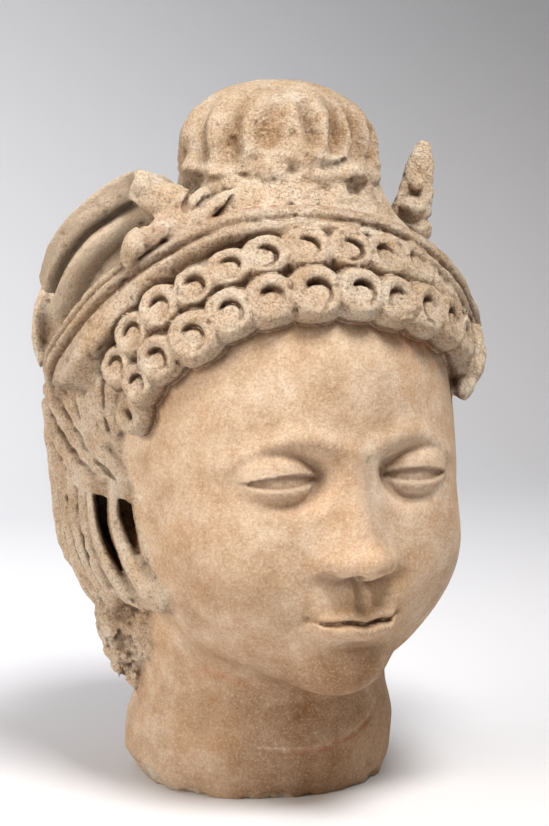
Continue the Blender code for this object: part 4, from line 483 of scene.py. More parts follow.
def topknot(p):
    q, ang = knot_frame(p)                                  # 0 to the front
    z = q[:, 2]
    rad = np.hypot(q[:, 0], q[:, 1]) + 1e-6
    ring = np.stack([q[:, 0] / rad * 60, q[:, 1] / rad * 60, z * 0.7], 1)
    swell = fbm(ring, 30.0, 47, 3)
    dome = ell(q, (0, 0, 0), (KNOT_R - 1.0, KNOT_R, KNOT_RISE))
    lump = np.exp(-((z + 17.0 - 6.0 * swell) / 13.0) ** 2)
    body = rad - (74.0 + (4.5 + 3.0 * swell) * lump + 3.0 * step(-z, 22, 40))
    body = smax(body, np.maximum(z - 8.0, -60.0 - z), 3.0)
    plinth = np.maximum((rad - 77.0 + (z + 19.0) * 0.60) * 0.86, np.maximum(z + 19.0, -54.0 - z)) + 9.0 * step(np.abs(ang + 8.0), 52, 76)
    plinth = plinth + 2.2 * np.clip(fbm(q, 15.0, 44, 4), -0.2, 1) + 3.5 * np.exp(-((ang - 1.0) / 4.0) ** 2 - ((z + 26.0) / 3.5) ** 2) + 3.5 * np.exp(-((ang - 22.0) / 4.0) ** 2 - ((z + 28.0) / 3.0) ** 2)
    d = smin(dome, body, 4.0)
    dug = knot_dug(ang, z)
    for a0, z0, hw, hh, rise in KNOT_LUMPS:
        u = ((ang - a0 + 180.0) % 360.0 - 180.0) / hw
        v = (z - z0) / hh
        m = (np.abs(u) < 2.4) & (np.abs(v) < 1)
        if m.any():
            d[m] -= rise * np.exp(-1.15 * u[m] ** 2) * (1 - v[m] ** 2) ** 1.3
    rough = np.clip(dug / 6.0, 0, 1)
    d = d + dug + rough * (1.5 * fbm(p, 7.0, 48, 3) + 0.6 * hash_noise(p, 3.2, 49))
    # the gathers of the collar and its worn, layered front
    fine = 0.5 - 0.5 * np.cos(np.radians(ang * 14.0 - 5.0 * z + 60 * swell))
    side = step(np.abs(ang + 23.0), 38, 66)
    low = step(-z, -6, 6)
    d = d + (0.5 + 2.4 * side) * fine * lump
    layers = 2.2 * np.exp(-((z + 29.0 - 4 * swell + 0.05 * ang) / 2.2) ** 2) + 1.5 * np.exp(-((z + 21.0 + 7 * swell) / 1.6) ** 2)
    d = d + low * layers * (1 - 0.5 * side)
    d = d + 4.5 * np.exp(-((ang + 15.5) / 4.2) ** 2 - ((z + 14.0) / 5.0) ** 2) + 2.5 * np.exp(-((ang + 24.0) / 6.0) ** 2 - ((z + 10.0) / 6.0) ** 2) * (0.6 + fbm(p, 5.0, 50, 2))
    worn = np.clip(fbm(q, 13.0, 41, 4) + 0.12, 0, 1)
    d = d + low * (worn * 5.5 + 0.9 * fbm(p, 6.0, 42, 3)) + 0.8 * fbm(p, 26.0, 43, 2)
    return smin(d, plinth, 1.5)

# ---------------------------------------------------------------- the loop of cloth on the near side
def on_band(theta, up=0.0, out=0.0):
    """Points beside the headband's centre line, given by their direction round the head."""
    k = (np.asarray(theta, float) + 180.0) % 360.0
    idx = np.arange(len(BAND.P))
    pick = lambda A: np.stack([np.interp(k, idx, A[:, j]) for j in range(3)], -1)
    return pick(BAND.P) + up * unit(pick(BAND.S)) + out * unit(pick(BAND.N))

LOOP_BASE = spline(on_band([-30, -39, -48, -58, -68, -79, -91, -104], 5.0, -5.0), 80)
LOOP_EDGE = spline([(-74, -66, 466), (-100, -66, 466), (-123, -63, 473), (-141, -50, 468), (-159, -35, 449), (-166, -17, 426), (-168, 6, 398), (-166, 30, 378)], 80)
LOOP_EDGE = LOOP_BASE + np.interp(np.linspace(0, 1, 80), (0, 0.3, 0.5, 0.6, 0.75, 1), (1.0, 1.0, 0.98, 0.93, 0.83, 0.78))[:, None] * (LOOP_EDGE - LOOP_BASE)
LOOP_EDGE[:, 0] -= 5.0 * np.interp(np.linspace(0, 1, 80), (0.45, 0.62, 0.9), (0, 1, 1))

def loop_frame():
    e = unit(LOOP_EDGE - LOOP_BASE)
    mid = 0.5 * (LOOP_EDGE + LOOP_BASE)
    t = unit(np.gradient(mid, axis=0))
    nu = unit(np.cross(t, e))
    return mid, e, t, nu, np.linalg.norm(LOOP_EDGE - LOOP_BASE, axis=1)
LOOP = loop_frame()
# profile from the band out to the edge: groove, swelling strip, deep groove, broad rim with a sharp lip
LOOP_A, LOOP_H = table((-0.3, -14), (0.05, -10), (0.18, -9), (0.265, -12), (0.31, -8), (0.36, -2.0), (0.42, 2.2), (0.49, 3.6), (0.55, 1.0), (0.595, -7), (0.625, -13), (0.655, -9), (0.69, -1.0), (0.75, 3.0), (0.83, 4.6), (0.90, 4.6), (0.96, 5.6), (1.0, 5.4), (1.10, 2), (1.3, 0), n=300)

def loop(p):
    mid, e, t, nu, wid = LOOP
    if (nu[40] @ np.array([-0.4, -0.9, 0.1])) < 0:
        nu = -nu
    i = ((p * p).sum(1)[:, None] - 2 * p @ mid.T + (mid * mid).sum(1)[None]).argmin(1)
    d = p - mid[i]
    along = (d * t[i]).sum(1)
    step_len = np.linalg.norm(np.diff(mid, axis=0), axis=1).mean()
    fi = np.clip(i + along / step_len, 0, len(mid) - 1)
    over = np.abs(along) * ((fi <= 0) | (fi >= len(mid) - 1))
    k = np.arange(len(mid))
    def pick(A):
        return np.stack([np.interp(fi, k, A[:, j]) for j in range(3)], 1)
    B, E, N = pick(LOOP_BASE), pick(unit(LOOP_EDGE - LOOP_BASE)), pick(nu)
    W = np.interp(fi, k, wid)
    q = p - B
    a = (q * E).sum(1) / W
    h = (q * N).sum(1)
    s = fi / (len(mid) - 1.0)
    g2 = np.interp(s, (0.3, 0.65, 1.0), (0.30, 0.40, 0.50)); g1 = np.interp(s, (0.3, 0.6, 0.8, 1.0), (0.64, 0.75, 0.82, 0.86))
    wa = np.where(a < g2, -0.35 + (a + 0.35) * 0.615 / (g2 + 0.35), np.where(a < g1, 0.265 + (a - g2) * 0.36 / (g1 - g2), 0.625 + (a - g1) * 0.375 / (1 - g1)))
    H = np.interp(wa, LOOP_A, LOOP_H)
    # at its upper end the loop is one smooth swelling, broken away in front
    up = 1 - step(s, 0.285, 0.315)
    H = H * (1 - up) + up * (2.0 + 6.0 * np.clip(a, 0, 1) - 60.0 * np.clip(0.16 - s, 0, 1) + 3.0 * fbm(p, 16.0, 71, 2))
    a_max = np.interp(s, (0.0, 0.10, 0.20, 0.30, 0.76, 0.83, 0.92, 1.0), (0.15, 0.42, 0.75, 1.0, 1.0, 0.78, 0.48, 0.30))
    back = 10.0 + 28.0 * np.clip(a_max - a, 0, 1.2)
    H = np.maximum(H, 6.0 - back)
    f = np.maximum((h - H) * 0.7, -(h + back))
    f = smax(f, (a - a_max) * W, 2.5)
    f = smax(f, (-0.35 - a) * W, 3.0)
    f = smax(f, over - 1.5, 3.0)
    return f

def leaf(p):
    """The pointed leaf where the loop ends, hollowed towards the front."""
    c = np.array([-162.5, 21, 358.0])
    up = unit([0.10, 0.12, 0.985]); face = unit(np.array([-0.62, -0.78, 0.05]) - 0.0 * up)
    face = unit(face - (face @ up) * up)
    R = np.stack([up, face, np.cross(up, face)], 1)
    q = (p - c) @ R
    point = 1.0 - 0.35 * np.clip(np.abs(q[:, 0]) / 33.0, 0, 1) ** 2
    q = q / np.stack([np.ones(len(q)), point, point], 1)
    body = ell(q, (0, -2, 0), (34, 11, 15))
    hollow = ell(q, (-2, 9.0, 0.5), (28, 9.5, 10.5))
    mid = ell(q, (0, 0, -9), (33, 9.5, 5))
    return smin(smax(body, -hollow, 2.0), mid, 2.0)

BUD_AXIS = unit([0.62, -0.12, 0.72])
STEM = Path(spline([(-124, -84, 424), (-116, -88, 433), (-107, -91, 440), (-97, -91, 447), (-90, -92, 453)], 24), (-0.3, -0.85, 0.4)); STEM_R = np.interp(np.linspace(0, 1, 24), (0, .3, .6, 1), (4.5, 8.0, 9.5, 8.0))
TIP = Path(spline([(-104, -94, 436), (-92, -99, 443), (-78, -103, 453), (-60, -101, 465)], 20), (-0.2, -0.85, 0.45)); TIP_R = np.interp(np.linspace(0, 1, 20), (0, .3, .7, 1), (4.5, 7.5, 5.5, 1.2))

FACET_C = np.array([-112.0, -78, 461])
def facet(p):
    """The broken upper end of the loop: a block with one bright flat break."""
    e1, e2 = np.array([0.917, -0.399, 0]), np.array([-0.399, -0.917, 0])
    z = np.array([0, 0, 1.0])
    u, v = 0.934 * e1 - 0.358 * z, 0.358 * e1 + 0.934 * z
    q = p - FACET_C
    a, b, c = q @ u, q @ v, q @ e2
    f = np.maximum(np.maximum(0.62 * c + 0.78 * b - 9.0, 0.97 * c - 0.24 * b - 10.0 - 0.10 * a), np.maximum(np.abs(a - 1.0) - 19.0, -b - 15.0 - 0.35 * a))
    f = np.maximum(f, np.maximum(b - 9.5, -c - 18.0))
    f = f + 3.4 * fbm(p, 15.0, 75, 4)
    return smax(f, -ell(p, (-120, -88, 441), (4.5, 13, 9), rot_y(-18)), 1.0)

def ornament(p):
    """A bud wrapped in its calyx, a short stem, an oval bead, and a leaf pointing over the brow."""
    R = np.stack([BUD_AXIS, unit(np.cross(BUD_AXIS, [0.4, 0.9, 0.1])), unit(np.cross(BUD_AXIS, np.cross(BUD_AXIS, [0.4, 0.9, 0.1])))], 1)
    q = (p - np.array([-129.0, -84, 427])) @ R
    bud = ell(q, (2.0, 0, 0), (10.5, 6.2, 6.2))
    wrap = np.abs(ell(q, (-1.0, 0, 0), (13.0, 9.2, 9.0)) + 1.2) - 1.3
    wrap = np.maximum(wrap, q[:, 0] - 1.0 - 0.75 * q[:, 1] - 3.0 * np.abs(hash_noise(p, 7.0, 76)))
    wrap = smin(wrap, ell(q, (-7.0, 0, 0), (6.5, 8.0, 8.0)), 1.0)
    f = smin(bud, wrap, 0.8)
    f = smin(f, ell(p, (-135, -79, 416), (6, 6, 9)), 3.0)
    f = smin(f, tube(p, STEM, STEM_R, 0.6) + 2.2 * fbm(p, 11.0, 73, 2), 2.0)
    # oval bead with a raised ring
    e = (p - np.array([-86.5, -95, 456])) @ R
    ring = np.abs(np.sqrt((e[:, 0] / 1.35) ** 2 + e[:, 1] ** 2 + (e[:, 2] * 0.9) ** 2) - 7.6) - 1.2
    f = smin(f, np.minimum(ell(e, (0, 0, 0), (8.6, 6.2, 6.2)), smax(ring, np.abs(e @ unit([0.1, 0.9, -0.4])) - 4.0, 1.0)), 1.5)
    # leaf with a groove along its middle
    L, a, h, over = TIP.coords(p)
    r = np.interp(L, TIP.L, TIP_R)
    lf = np.sqrt(a * a + (h / 0.62) ** 2 + over * over) - r
    lf = lf + 1.8 * np.exp(-(a / 1.6) ** 2) * (h > 0)
    return smin(f, lf, 1.5)

FINGER = Path(spline([(96, -72, 434), (100, -75, 450), (103, -76, 465), (105, -77, 480), (108, -77, 492)], 24), (-0.4, -0.9, 0)); FINGER_R = np.interp(np.linspace(0, 1, 24), (0, .28, .5, .78, .93, 1), (20, 15.5, 13.0, 11.5, 9.0, 6.5))

def fragment(p):
    """What is left of the same ornament on the far side: a leaning, worn finger with two knobs on it."""
    f = tube(p, FINGER, FINGER_R, 0.55) + 2.6 * fbm(p, 13.0, 77, 3)
    f = smin(f, ell(p, (99, -82, 466), (6.0, 6.5, 6.5)), 1.5)
    f = smin(f, ell(p, (97, -81, 449), (11.0, 9.5, 8.5)), 1.5)
    f = f + 3.5 * np.exp(-((p[:, 2] - 438.5) / 2.4) ** 2) * step(-p[:, 1], 72, 80)
    return f + 1.2 * np.clip(hash_noise(p, 5.0, 78), 0, 1)

# ---------------------------------------------------------------- hair, ear and broken edge beside the cheek
SIDE_OUT = table((-98, 120), (-80, 130), (-60, 138), (-30, 148), (0, 154), (30, 157.5), (55, 154), (80, 142), (100, 130))
SIDE_IN = table((60, 66), (76, 58), (92, 42), (105, 34), (136, 32), (155, 22), (172, 13), (200, 8), (228, 6), (262, 2), (296, 0), (340, 0))
SIDE_ROOM = table((-98, -3), (-84, 1), (-70, 6), (-50, 13), (-25, 22), (10, 34), (90, 34))
def side_x(y, z):
    """Where the hair and the ear end sideways."""
    k = np.interp(y, (-95, -60, -20, 10), (0, 0.15, 0.8, 1))
    return -(np.interp(y, *SIDE_OUT) - np.interp(z, *SIDE_IN) * k)

def on_side(pts, out=0.0):
    P = np.asarray(pts, float)
    return np.stack([side_x(P[:, 0], P[:, 1]) - out, P[:, 0], P[:, 1]], 1)

def lock(pts, radii, out=0.0, n=36, face=(-1, -0.45, 0.1)):
    """One strand of hair laid on the side of the head: its path and radius."""
    return Path(spline(on_side(pts, out), n), face), np.interp(np.linspace(0, 1, n), np.linspace(0, 1, len(radii)), radii)

# the strands swept from behind the ear to the temple, from the lowest up
FAN = [lock([(56, 276), (34, 252), (-1, 241), (-39, 236), (-66, 235), (-78, 235)], (9, 9.5, 8.5, 6.5, 3.0, 1.5), -3.5),
       lock([(58, 292), (24, 268), (-8, 250), (-44, 241), (-67, 238), (-78, 236)], (10, 9, 7.5, 5.0, 2.8, 1.2), -3.0),
       lock([(40, 306), (5, 281), (-23, 259), (-49, 246), (-68, 241)], (10, 9, 7.0, 4.6, 2.4), -2.5),
       lock([(10, 314), (-12, 289), (-34, 268), (-54, 254), (-69, 244)], (8, 7.5, 6.0, 4.2, 2.6), -2.0),
       lock([(-12, 318), (-27, 292), (-41, 272), (-58, 259), (-69, 248)], (6, 6.5, 5.2, 4.0, 3.0), -2.0)]
UPRIGHT = [lock([(-21, 330), (-22, 303), (-24, 283)], (6.5, 6.5, 3), 0.5), lock([(-34, 334), (-34, 309), (-37, 283)], (6, 6, 3), 1.5),
           lock([(-44, 330), (-44, 306), (-48, 286)], (6, 6, 3.5), 1.5), lock([(-5, 328), (-4, 312), (-6, 298)], (7.5, 7, 3), -1.0), lock([(-58, 318), (-57, 300), (-60, 284)], (7, 6.5, 4), 1.0)]
FALLS = [lock([(52, 268), (50, 230), (46, 190), (40, 160), (34, 138)], (12, 12, 11, 9, 7), -6.0), lock([(28, 250), (28, 220), (25, 189), (22, 161), (20, 136)], (9, 10, 10, 9, 7), -5.5),
         lock([(12, 246), (13, 214), (8, 184), (4, 158), (2, 139)], (6.5, 7.5, 7.5, 6.5, 5), -4.5), lock([(-4, 242), (-1, 213), (-7, 186), (-14, 164), (-17, 150)], (5, 6, 6, 5.5, 4), -4.5)]
HELIX, HELIX_R = lock([(-20, 242), (-22, 217), (-30, 193), (-44, 174), (-58, 163)], (6.5, 8.0, 8.5, 8.0, 6.0), -5.0)
ANTI, ANTI_R = lock([(-51, 240), (-51, 217), (-58, 199), (-70, 180), (-82, 168)], (5.0, 5.5, 6.5, 7.0, 5.0), -5.0)

def side(p):
    """The mass of hair and ear beside the cheek, under the strands."""
    x, y, z = p[:, 0], p[:, 1], p[:, 2]
    d = (side_x(y, z) + 4.0 - x) * 0.86
    d = smax(d, head_mass(p) - np.interp(y, *SIDE_ROOM), 4.0)
    d = smax(d, np.maximum(np.interp(y, (-90, -60, -20, 0, 40), (168, 158, 150, 138, 128)) - z, z - 326.0), 5.0)
    return smax(d, np.maximum(y - 78.0, x + 88.0), 6.0)

def strands(p, rows, flat, k):
    d = None
    for path, r in rows:
        g = tube(p, path, r, flat)
        d = g if d is None else smin(d, g, k)
    return d

def fan(p):
    d = smin(strands(p, FAN, 0.8, 4.6), ell(p, (-127, -74, 236), (8, 11, 6)), 3.0)
    r = np.hypot(p[:, 1] + 88.0, p[:, 2] - 234.0)
    turn = np.degrees(np.arctan2(p[:, 2] - 234.0, p[:, 1] + 88.0)) + 0.16 * r
    hairs = (0.5 - 0.5 * np.cos(np.radians(turn * 68.0 + 90.0 * hash_noise(p, 14.0, 82)))) * step(r, 22, 50)
    return d + 0.7 * hash_noise(p, 9.0, 83) + 0.95 * hairs

def upright(p):
    return strands(p, UPRIGHT, 0.8, 2.0) + 0.8 * fbm(p, 8.0, 87, 2)

def fall(p):
    hairs = 0.5 - 0.5 * np.cos(2 * np.pi * (p[:, 1] - 0.13 * p[:, 2]) / 5.2 + 2.0 * hash_noise(p, 16.0, 85))
    chips = np.clip(fbm(p * np.array([1, 1, 0.55]), 14.0, 86, 3) - 0.05, 0, 1)
    return strands(p, FALLS, 0.8, 4.5) + 0.8 * hash_noise(p, 11.0, 84) + 1.0 * hairs + 5.0 * chips

def ear(p):
    f = smin(tube(p, HELIX, HELIX_R), tube(p, ANTI, ANTI_R), 6.0)
    return smin(f, ell(p, (-119, -62, 171), (9, 23, 16), rot_x(12)), 8.0)

# the two deep slits, cut straight in from the front quarter: their edges and their floor at each height
CUT_A, CUT_B = (0.917, -0.399), (0.399, 0.917)
SLIT_A = (176, 186, 198, 210, 222, 234), (-101.0, -108.5, -115.7, -119.6, -121.2, -122.8), (-99.5, -103.5, -108.6, -111.6, -112.0, -112.0), -50.0
SLIT_B = (194, 200, 209, 219, 233), (-89.0, -92.5, -96.7, -101.4, -102.2), (-87.0, -87.5, -88.5, -90.6, -92.6), -80.0
def ear_slits(p):
    d = np.full(len(p), 50.0)
    s = CUT_A[0] * p[:, 0] + CUT_A[1] * p[:, 1]
    v = CUT_B[0] * p[:, 0] + CUT_B[1] * p[:, 1]
    for zs, left, right, floor in (SLIT_A, SLIT_B):
        lo, hi = np.interp(p[:, 2], zs, left), np.interp(p[:, 2], zs, right)
        f = np.abs(s - 0.5 * (lo + hi)) - 0.5 * (hi - lo)
        f = np.maximum(f, zs[0] - p[:, 2])
        f = np.maximum(f, p[:, 2] - 246.0)
        f = np.maximum(f, v - (floor - 34.0 * (1 - np.clip((p[:, 2] - zs[0]) / 26.0, 0, 1))))
        d = np.minimum(d, f)
    return d

LEDGE = Path(spline([(-126, -22, 158), (-121, -45, 155), (-117, -66, 152), (-115, -82, 154), (-115, -94, 158)], 30), (-1, -0.3, 0)); LEDGE_R = np.interp(np.linspace(0, 1, 30), (0, .3, .6, .85, 1), (2, 4.5, 4.8, 3.0, 0.5))

def broken(p):
    """The rough stump below the ear, where the falling hair is broken away."""
    f = ell(p, (-111, 14, 122), (19, 20, 22))
    f = smin(f, ell(p, (-106, 10, 104), (19, 18, 16)), 6.0)
    f = smin(f, ell(p, (-97, -10, 122), (15, 22, 24)), 8.0)
    f = smin(f, ell(p, (-100, 6, 84), (8, 9, 15)), 5.0)
    f = smin(f, ell(p, (-96, 30, 104), (20, 24, 30)), 8.0)
    f = f + 6.0 * fbm(p, 12.0, 51, 4) + 1.5
    f = f + 4.0 * np.clip(hash_noise(p, 5.5, 55) - 0.25, 0, 1) + 1.5 * hash_noise(p, 3.4, 56)
    # splintered ledge across the end of the ear
    L, a, h, over = LEDGE.coords(p)
    g = np.sqrt((a * 0.8) ** 2 + h * h + over * over) - np.interp(L, LEDGE.L, LEDGE_R)
    g = g + 3.6 * fbm(p * np.array([0.3, 0.3, 1.8]), 7.0, 57, 3) + 1.8 * fbm(p, 10.0, 58, 2)
    return smin(f, g, 3.0)

TEMPLE = Path(spline([(136, -106, 350), (134, -108, 334), (128, -112, 320), (122, -117, 311)], 20), (0.8, -0.5, 0)); TEMPLE_R = np.interp(np.linspace(0, 1, 20), (0, .4, .75, 1), (10, 13, 12, 8))
def temple(p):
    """The rough mass on the far side in which the rows of curls end."""
    return tube(p, TEMPLE, TEMPLE_R, 0.9) + 3.2 * fbm(p, 11.0, 79, 4) + 1.4 * np.clip(hash_noise(p, 5.0, 80), 0, 1)

# ---------------------------------------------------------------- everything together
CURLS = row_curls()

CREASE = table((-60, 66), (-40, 52), (-23, 44), (-8, 40.5), (12, 43), (32, 58), (50, 80))
def neck_creases(turn, z):
    """Shallow folds across the front of the neck."""
    main = 1.7 * np.exp(-((z - np.interp(turn, *CREASE)) / 2.8) ** 2) * (1 - step(np.abs(turn - 5), 24, 38))
    upper = 0.8 * np.exp(-((z - 76 - 0.012 * turn ** 2 * 0.5) / 3.0) ** 2) * (1 - step(np.abs(turn + 10), 30, 60))
    return main + upper

def whole(p):
    """The finished form, negative inside."""
    f = head_sdf(p)
    m = (p[:, 2] < 110) & (p[:, 1] < 20)
    if m.any():
        q = p[m]
        turn = np.degrees(np.arctan2(q[:, 0], -q[:, 1]))
        f[m] += neck_creases(turn, q[:, 2])
    m = p[:, 2] < 36
    if m.any():
        q = p[m]
        rho = np.hypot(q[:, 0], q[:, 1])
        edge = 102.0 + 0.02 * q[:, 0]
        rise = 12.0 * step(-0.917 * q[:, 0] + 0.399 * q[:, 1], 62, 100) + 5.0 * step(0.917 * q[:, 0] - 0.399 * q[:, 1], 70, 105)
        chip = 2.5 + rise + 6.5 * fbm(q * np.array([1, 1, 0.3]), 11.0, 61, 4) - 1.1 * np.clip(edge - rho, -6, 40)
        f[m] = smax(f[m], np.minimum(chip - q[:, 2], 10.0), 1.0)
    def add(fn, lo, hi, k, pad=14.0):
        nonlocal f
        m = near_box(p, lo, hi, pad)
        if m.any():
            g = f[m]
            f[m] = smin(g, fn(p[m]), k)
    add(crown, (-175, -150, 250), (175, 185, 480), 4.0)
    add(back_hair, (-175, -60, 70), (175, 175, 400), 6.0)
    add(headband, (-175, -140, 280), (175, 175, 470), 1.6)
    add(topknot, (-96, -140, 418), (96, 60, 548), 9.0)
    add(lambda q: ell(q, (62, -34, 446), (24, 34, 18)), (38, -68, 428), (86, 0, 464), 6.0)
    add(loop, (-182, -125, 315), (-60, 55, 482), 2.0)
    add(leaf, (-182, -8, 315), (-132, 52, 400), 1.5)
    add(facet, (-145, -112, 440), (-80, -50, 480), 7.0)
    add(ornament, (-150, -112, 398), (-55, -60, 475), 2.0)
    add(fragment, (76, -100, 415), (128, -50, 500), 3.0)
    add(temple, (105, -135, 290), (155, -80, 365), 5.0)
    add(side, (-165, -98, 110), (-80, 84, 335), 6.0)
    add(fall, (-168, -30, 125), (-110, 70, 285), 5.0)
    add(ear, (-160, -96, 150), (-112, -5, 255), 6.0)
    add(lambda q: ell(q, (-112, -82, 166), (10, 16, 14)), (-124, -100, 150), (-100, -64, 182), 8.0)
    m = near_box(p, (-170, -92, 172), (-98, 12, 250), 6)
    if m.any():
        f[m] = smax(f[m], -ear_slits(p[m]), 3.0)
    add(fan, (-172, -80, 215), (-118, 75, 330), 1.5)
    add(upright, (-168, -72, 275), (-118, 12, 345), 2.0)
    turned = np.array([-1.0, 1.0, 1.0])
    add(lambda q: side(q * turned), (80, -98, 110), (165, 84, 335), 6.0)
    add(lambda q: fall(q * turned), (110, -30, 125), (168, 70, 285), 3.0)
    add(lambda q: ear(q * turned), (112, -96, 150), (160, -5, 255), 3.0)
    m = near_box(p, (98, -92, 172), (170, 12, 250), 6)
    if m.any():
        f[m] = smax(f[m], -(ear_slits(p[m] * turned) + 1.0), 3.0)
    add(lambda q: fan(q * turned), (118, -80, 215), (172, 75, 330), 2.0)
    add(broken, (-135, -112, 60), (-70, 60, 172), 5.0)
    for n, C in enumerate(CURLS):
        c = C["c"]
        add(lambda q, C=C, n=n: curl(q, C, 100 + n), c - 32, c + 32, 0.8, 6.0)
    return f

# ---------------------------------------------------------------- from the form to a mesh
def in_parts(fn, P, size=60000):
    """fn over many points, in parts that run side by side."""
    parts = [P[i:i + size] for i in range(0, len(P), size)]
    with ThreadPoolExecutor(4) as pool:
        return np.concatenate(list(pool.map(fn, parts)))

def cells(o, edge, n):
    """Centres of the n x n x n small cells inside each cell whose centre is in o."""
    k = ((np.arange(n) + 0.5) / n - 0.5) * edge
    K = np.stack(np.meshgrid(k, k, k, indexing="ij"), -1).reshape(-1, 3)
    return (o[:, None, :] + K[None]).reshape(-1, 3)

def skin_of(form, lo, hi, grid):
    """The surface of the form: vertices in millimetres and quads, from a band of fine cells along it."""
    big = 8.0
    half = 4.0
    nf = int(round(half / grid)); grid = half / nf
    lo, hi = np.asarray(lo, float), np.asarray(hi, float)
    n = np.ceil((hi - lo) / big).astype(int)
    C = np.stack(np.meshgrid(*[lo[i] + big * (np.arange(n[i]) + 0.5) for i in range(3)], indexing="ij"), -1).reshape(-1, 3)
    v = in_parts(form, C)
    sign = np.where(v > 0, 1.0, -1.0).astype(np.float32)
    near = np.flatnonzero(np.abs(v) < big * 1.35)
    # second level
    H = cells(C[near], big, 2)
    vh = in_parts(form, H)
    # the grid of half-size cells
    nh = n * 2
    ijk = np.floor((H - lo) / half).astype(int)
    level = np.repeat(np.repeat(np.repeat(sign.reshape(n), 2, 0), 2, 1), 2, 2)
    level[ijk[:, 0], ijk[:, 1], ijk[:, 2]] = np.where(vh > 0, 1.0, -1.0)
    close = np.flatnonzero(np.abs(vh) < half * 1.30)
    V = np.repeat(np.repeat(np.repeat(level, nf, 0), nf, 1), nf, 2).astype(np.float32) * grid * 2
    P = cells(H[close], half, nf)
    vf = in_parts(form, P, 100000)
    ijk = np.floor((P - lo) / grid).astype(int)
    V[ijk[:, 0], ijk[:, 1], ijk[:, 2]] = vf
    g = openvdb.FloatGrid()
    g.copyFromArray(np.ascontiguousarray(V))
    pts, quads = g.convertToQuads(isovalue=0.0)
    return pts * grid + (lo + 0.5 * grid), quads

def corner_normals(pts, faces):
    """Vertex normals from quads or triangles."""
    a, b, c = pts[faces[:, 0]], pts[faces[:, 1]], pts[faces[:, 2]]
    n = np.cross(c - a, pts[faces[:, 3]] - b) if faces.shape[1] == 4 else np.cross(b - a, c - a)
    out = np.zeros_like(pts)
    for k in range(faces.shape[1]):
        for j in range(3):
            out[:, j] += np.bincount(faces[:, k], n[:, j], len(pts))
    return out / (np.linalg.norm(out, axis=1, keepdims=True) + 1e-12)

def cell_noise(p, size, seed):
    """Distance to the nearest of a set of scattered points, in cells, and a number for that point."""
    q = p / size
    i0 = np.floor(q).astype(np.int64)
    best = np.full(len(p), 9.0); who = np.zeros(len(p))
    for dx in (-1, 0, 1):
        for dy in (-1, 0, 1):
            for dz in (-1, 0, 1):
                i = i0 + np.array([dx, dy, dz])
                h = i[:, 0] * 374761393 + i[:, 1] * 668265263 + i[:, 2] * 2147483647 + seed * 974711
                h = (h ^ (h >> 13)) * 1274126177
                h = h ^ (h >> 16)
                r = np.stack([(h & 0x3FF), ((h >> 10) & 0x3FF), ((h >> 20) & 0x3FF)], 1) / 1023.0
                d = np.sqrt(((i + r - q) ** 2).sum(1))
                m = d < best
                best = np.where(m, d, best)
                who = np.where(m, ((h >> 30) & 0xFF) / 255.0, who)
    return best, who

def belongs(p, fn, lo, hi, tol=1.6, pad=6.0):
    """1 where the surface is that member's own, 0 elsewhere."""
    w = np.zeros(len(p))
    m = near_box(p, lo, hi, pad)
    if m.any():
        w[m] = 1.0 - step(fn(p[m]), tol * 0.4, tol * 1.6)
    return w

def regions(p):
    """How far each point belongs to the skin, band, curls, topknot, loop, side hair and broken edge."""
    R = {}
    R["skin"] = 1.0 - step(np.abs(head_sdf(p)), 0.9, 2.6)
    R["band"] = belongs(p, headband, (-175, -140, 280), (175, 175, 470))
    R["knot"] = belongs(p, topknot, (-96, -140, 418), (96, 60, 548))
    R["loop"] = belongs(p, loop, (-182, -125, 315), (-60, 55, 482))
    R["fan"] = np.maximum(belongs(p, fan, (-172, -80, 215), (-118, 75, 330)), belongs(p, upright, (-168, -72, 275), (-118, 12, 345)))
    R["fall"] = belongs(p, fall, (-168, -30, 125), (-110, 70, 285))
    R["ear"] = belongs(p, ear, (-160, -96, 150), (-112, -5, 255), 2.5)
    R["side"] = belongs(p, side, (-165, -98, 110), (-80, 84, 335), 2.5)
    R["broken"] = belongs(p, broken, (-135, -112, 60), (-70, 60, 172), 2.5)
    R["back"] = belongs(p, back_hair, (-175, -60, 70), (175, 175, 400))
    R["crown"] = belongs(p, crown, (-170, -150, 330), (170, 170, 480))
    R["curls"] = np.zeros(len(p))
    for n, C in enumerate(CURLS):
        m = near_box(p, C["c"] - 26, C["c"] + 26, 4)
        if m.any():
            R["curls"][m] = np.maximum(R["curls"][m], 1.0 - step(curl(p[m], C, 100 + n), 0.6, 2.4))
    return R

def relief(p, R):
    """Height of the small relief in mm, outward."""
    skin = R["skin"]
    rough = 1.0 - 0.86 * skin
    h = 0.55 * fbm(p, 24.0, 201, 2) * rough + 0.10 * fbm(p, 34.0, 207, 2) * skin
    h += rough * (0.42 * fbm(p, 7.0, 211, 3) + 0.30 * hash_noise(p, 2.6, 214))
    h += skin * (0.06 * fbm(p, 6.0, 217, 2) + 0.05 * hash_noise(p, 2.8, 218))
    # pits left by sand grains, more of them on the broken and worn parts
    worn = np.clip(0.25 + 0.9 * R["broken"] + 0.8 * R["knot"] * (p[:, 1] < -60) * (1 - step(p[:, 2], 486, 505)) + 0.5 * R["crown"], 0, 1) * rough
    d, who = cell_noise(p, 6.5, 31)
    h -= 1.5 * (who > 0.72 - 0.45 * worn) * np.clip(1 - d / (0.20 + 0.22 * who), 0, 1) ** 0.7 * rough
    d, who = cell_noise(p, 15.0, 37)
    h -= 1.6 * worn * (who > 0.55) * np.clip(1 - d / 0.36, 0, 1) ** 0.8
    return h

def base_cut(p):
    """The form with its flat underside."""
    return np.maximum(whole(p), -p[:, 2])

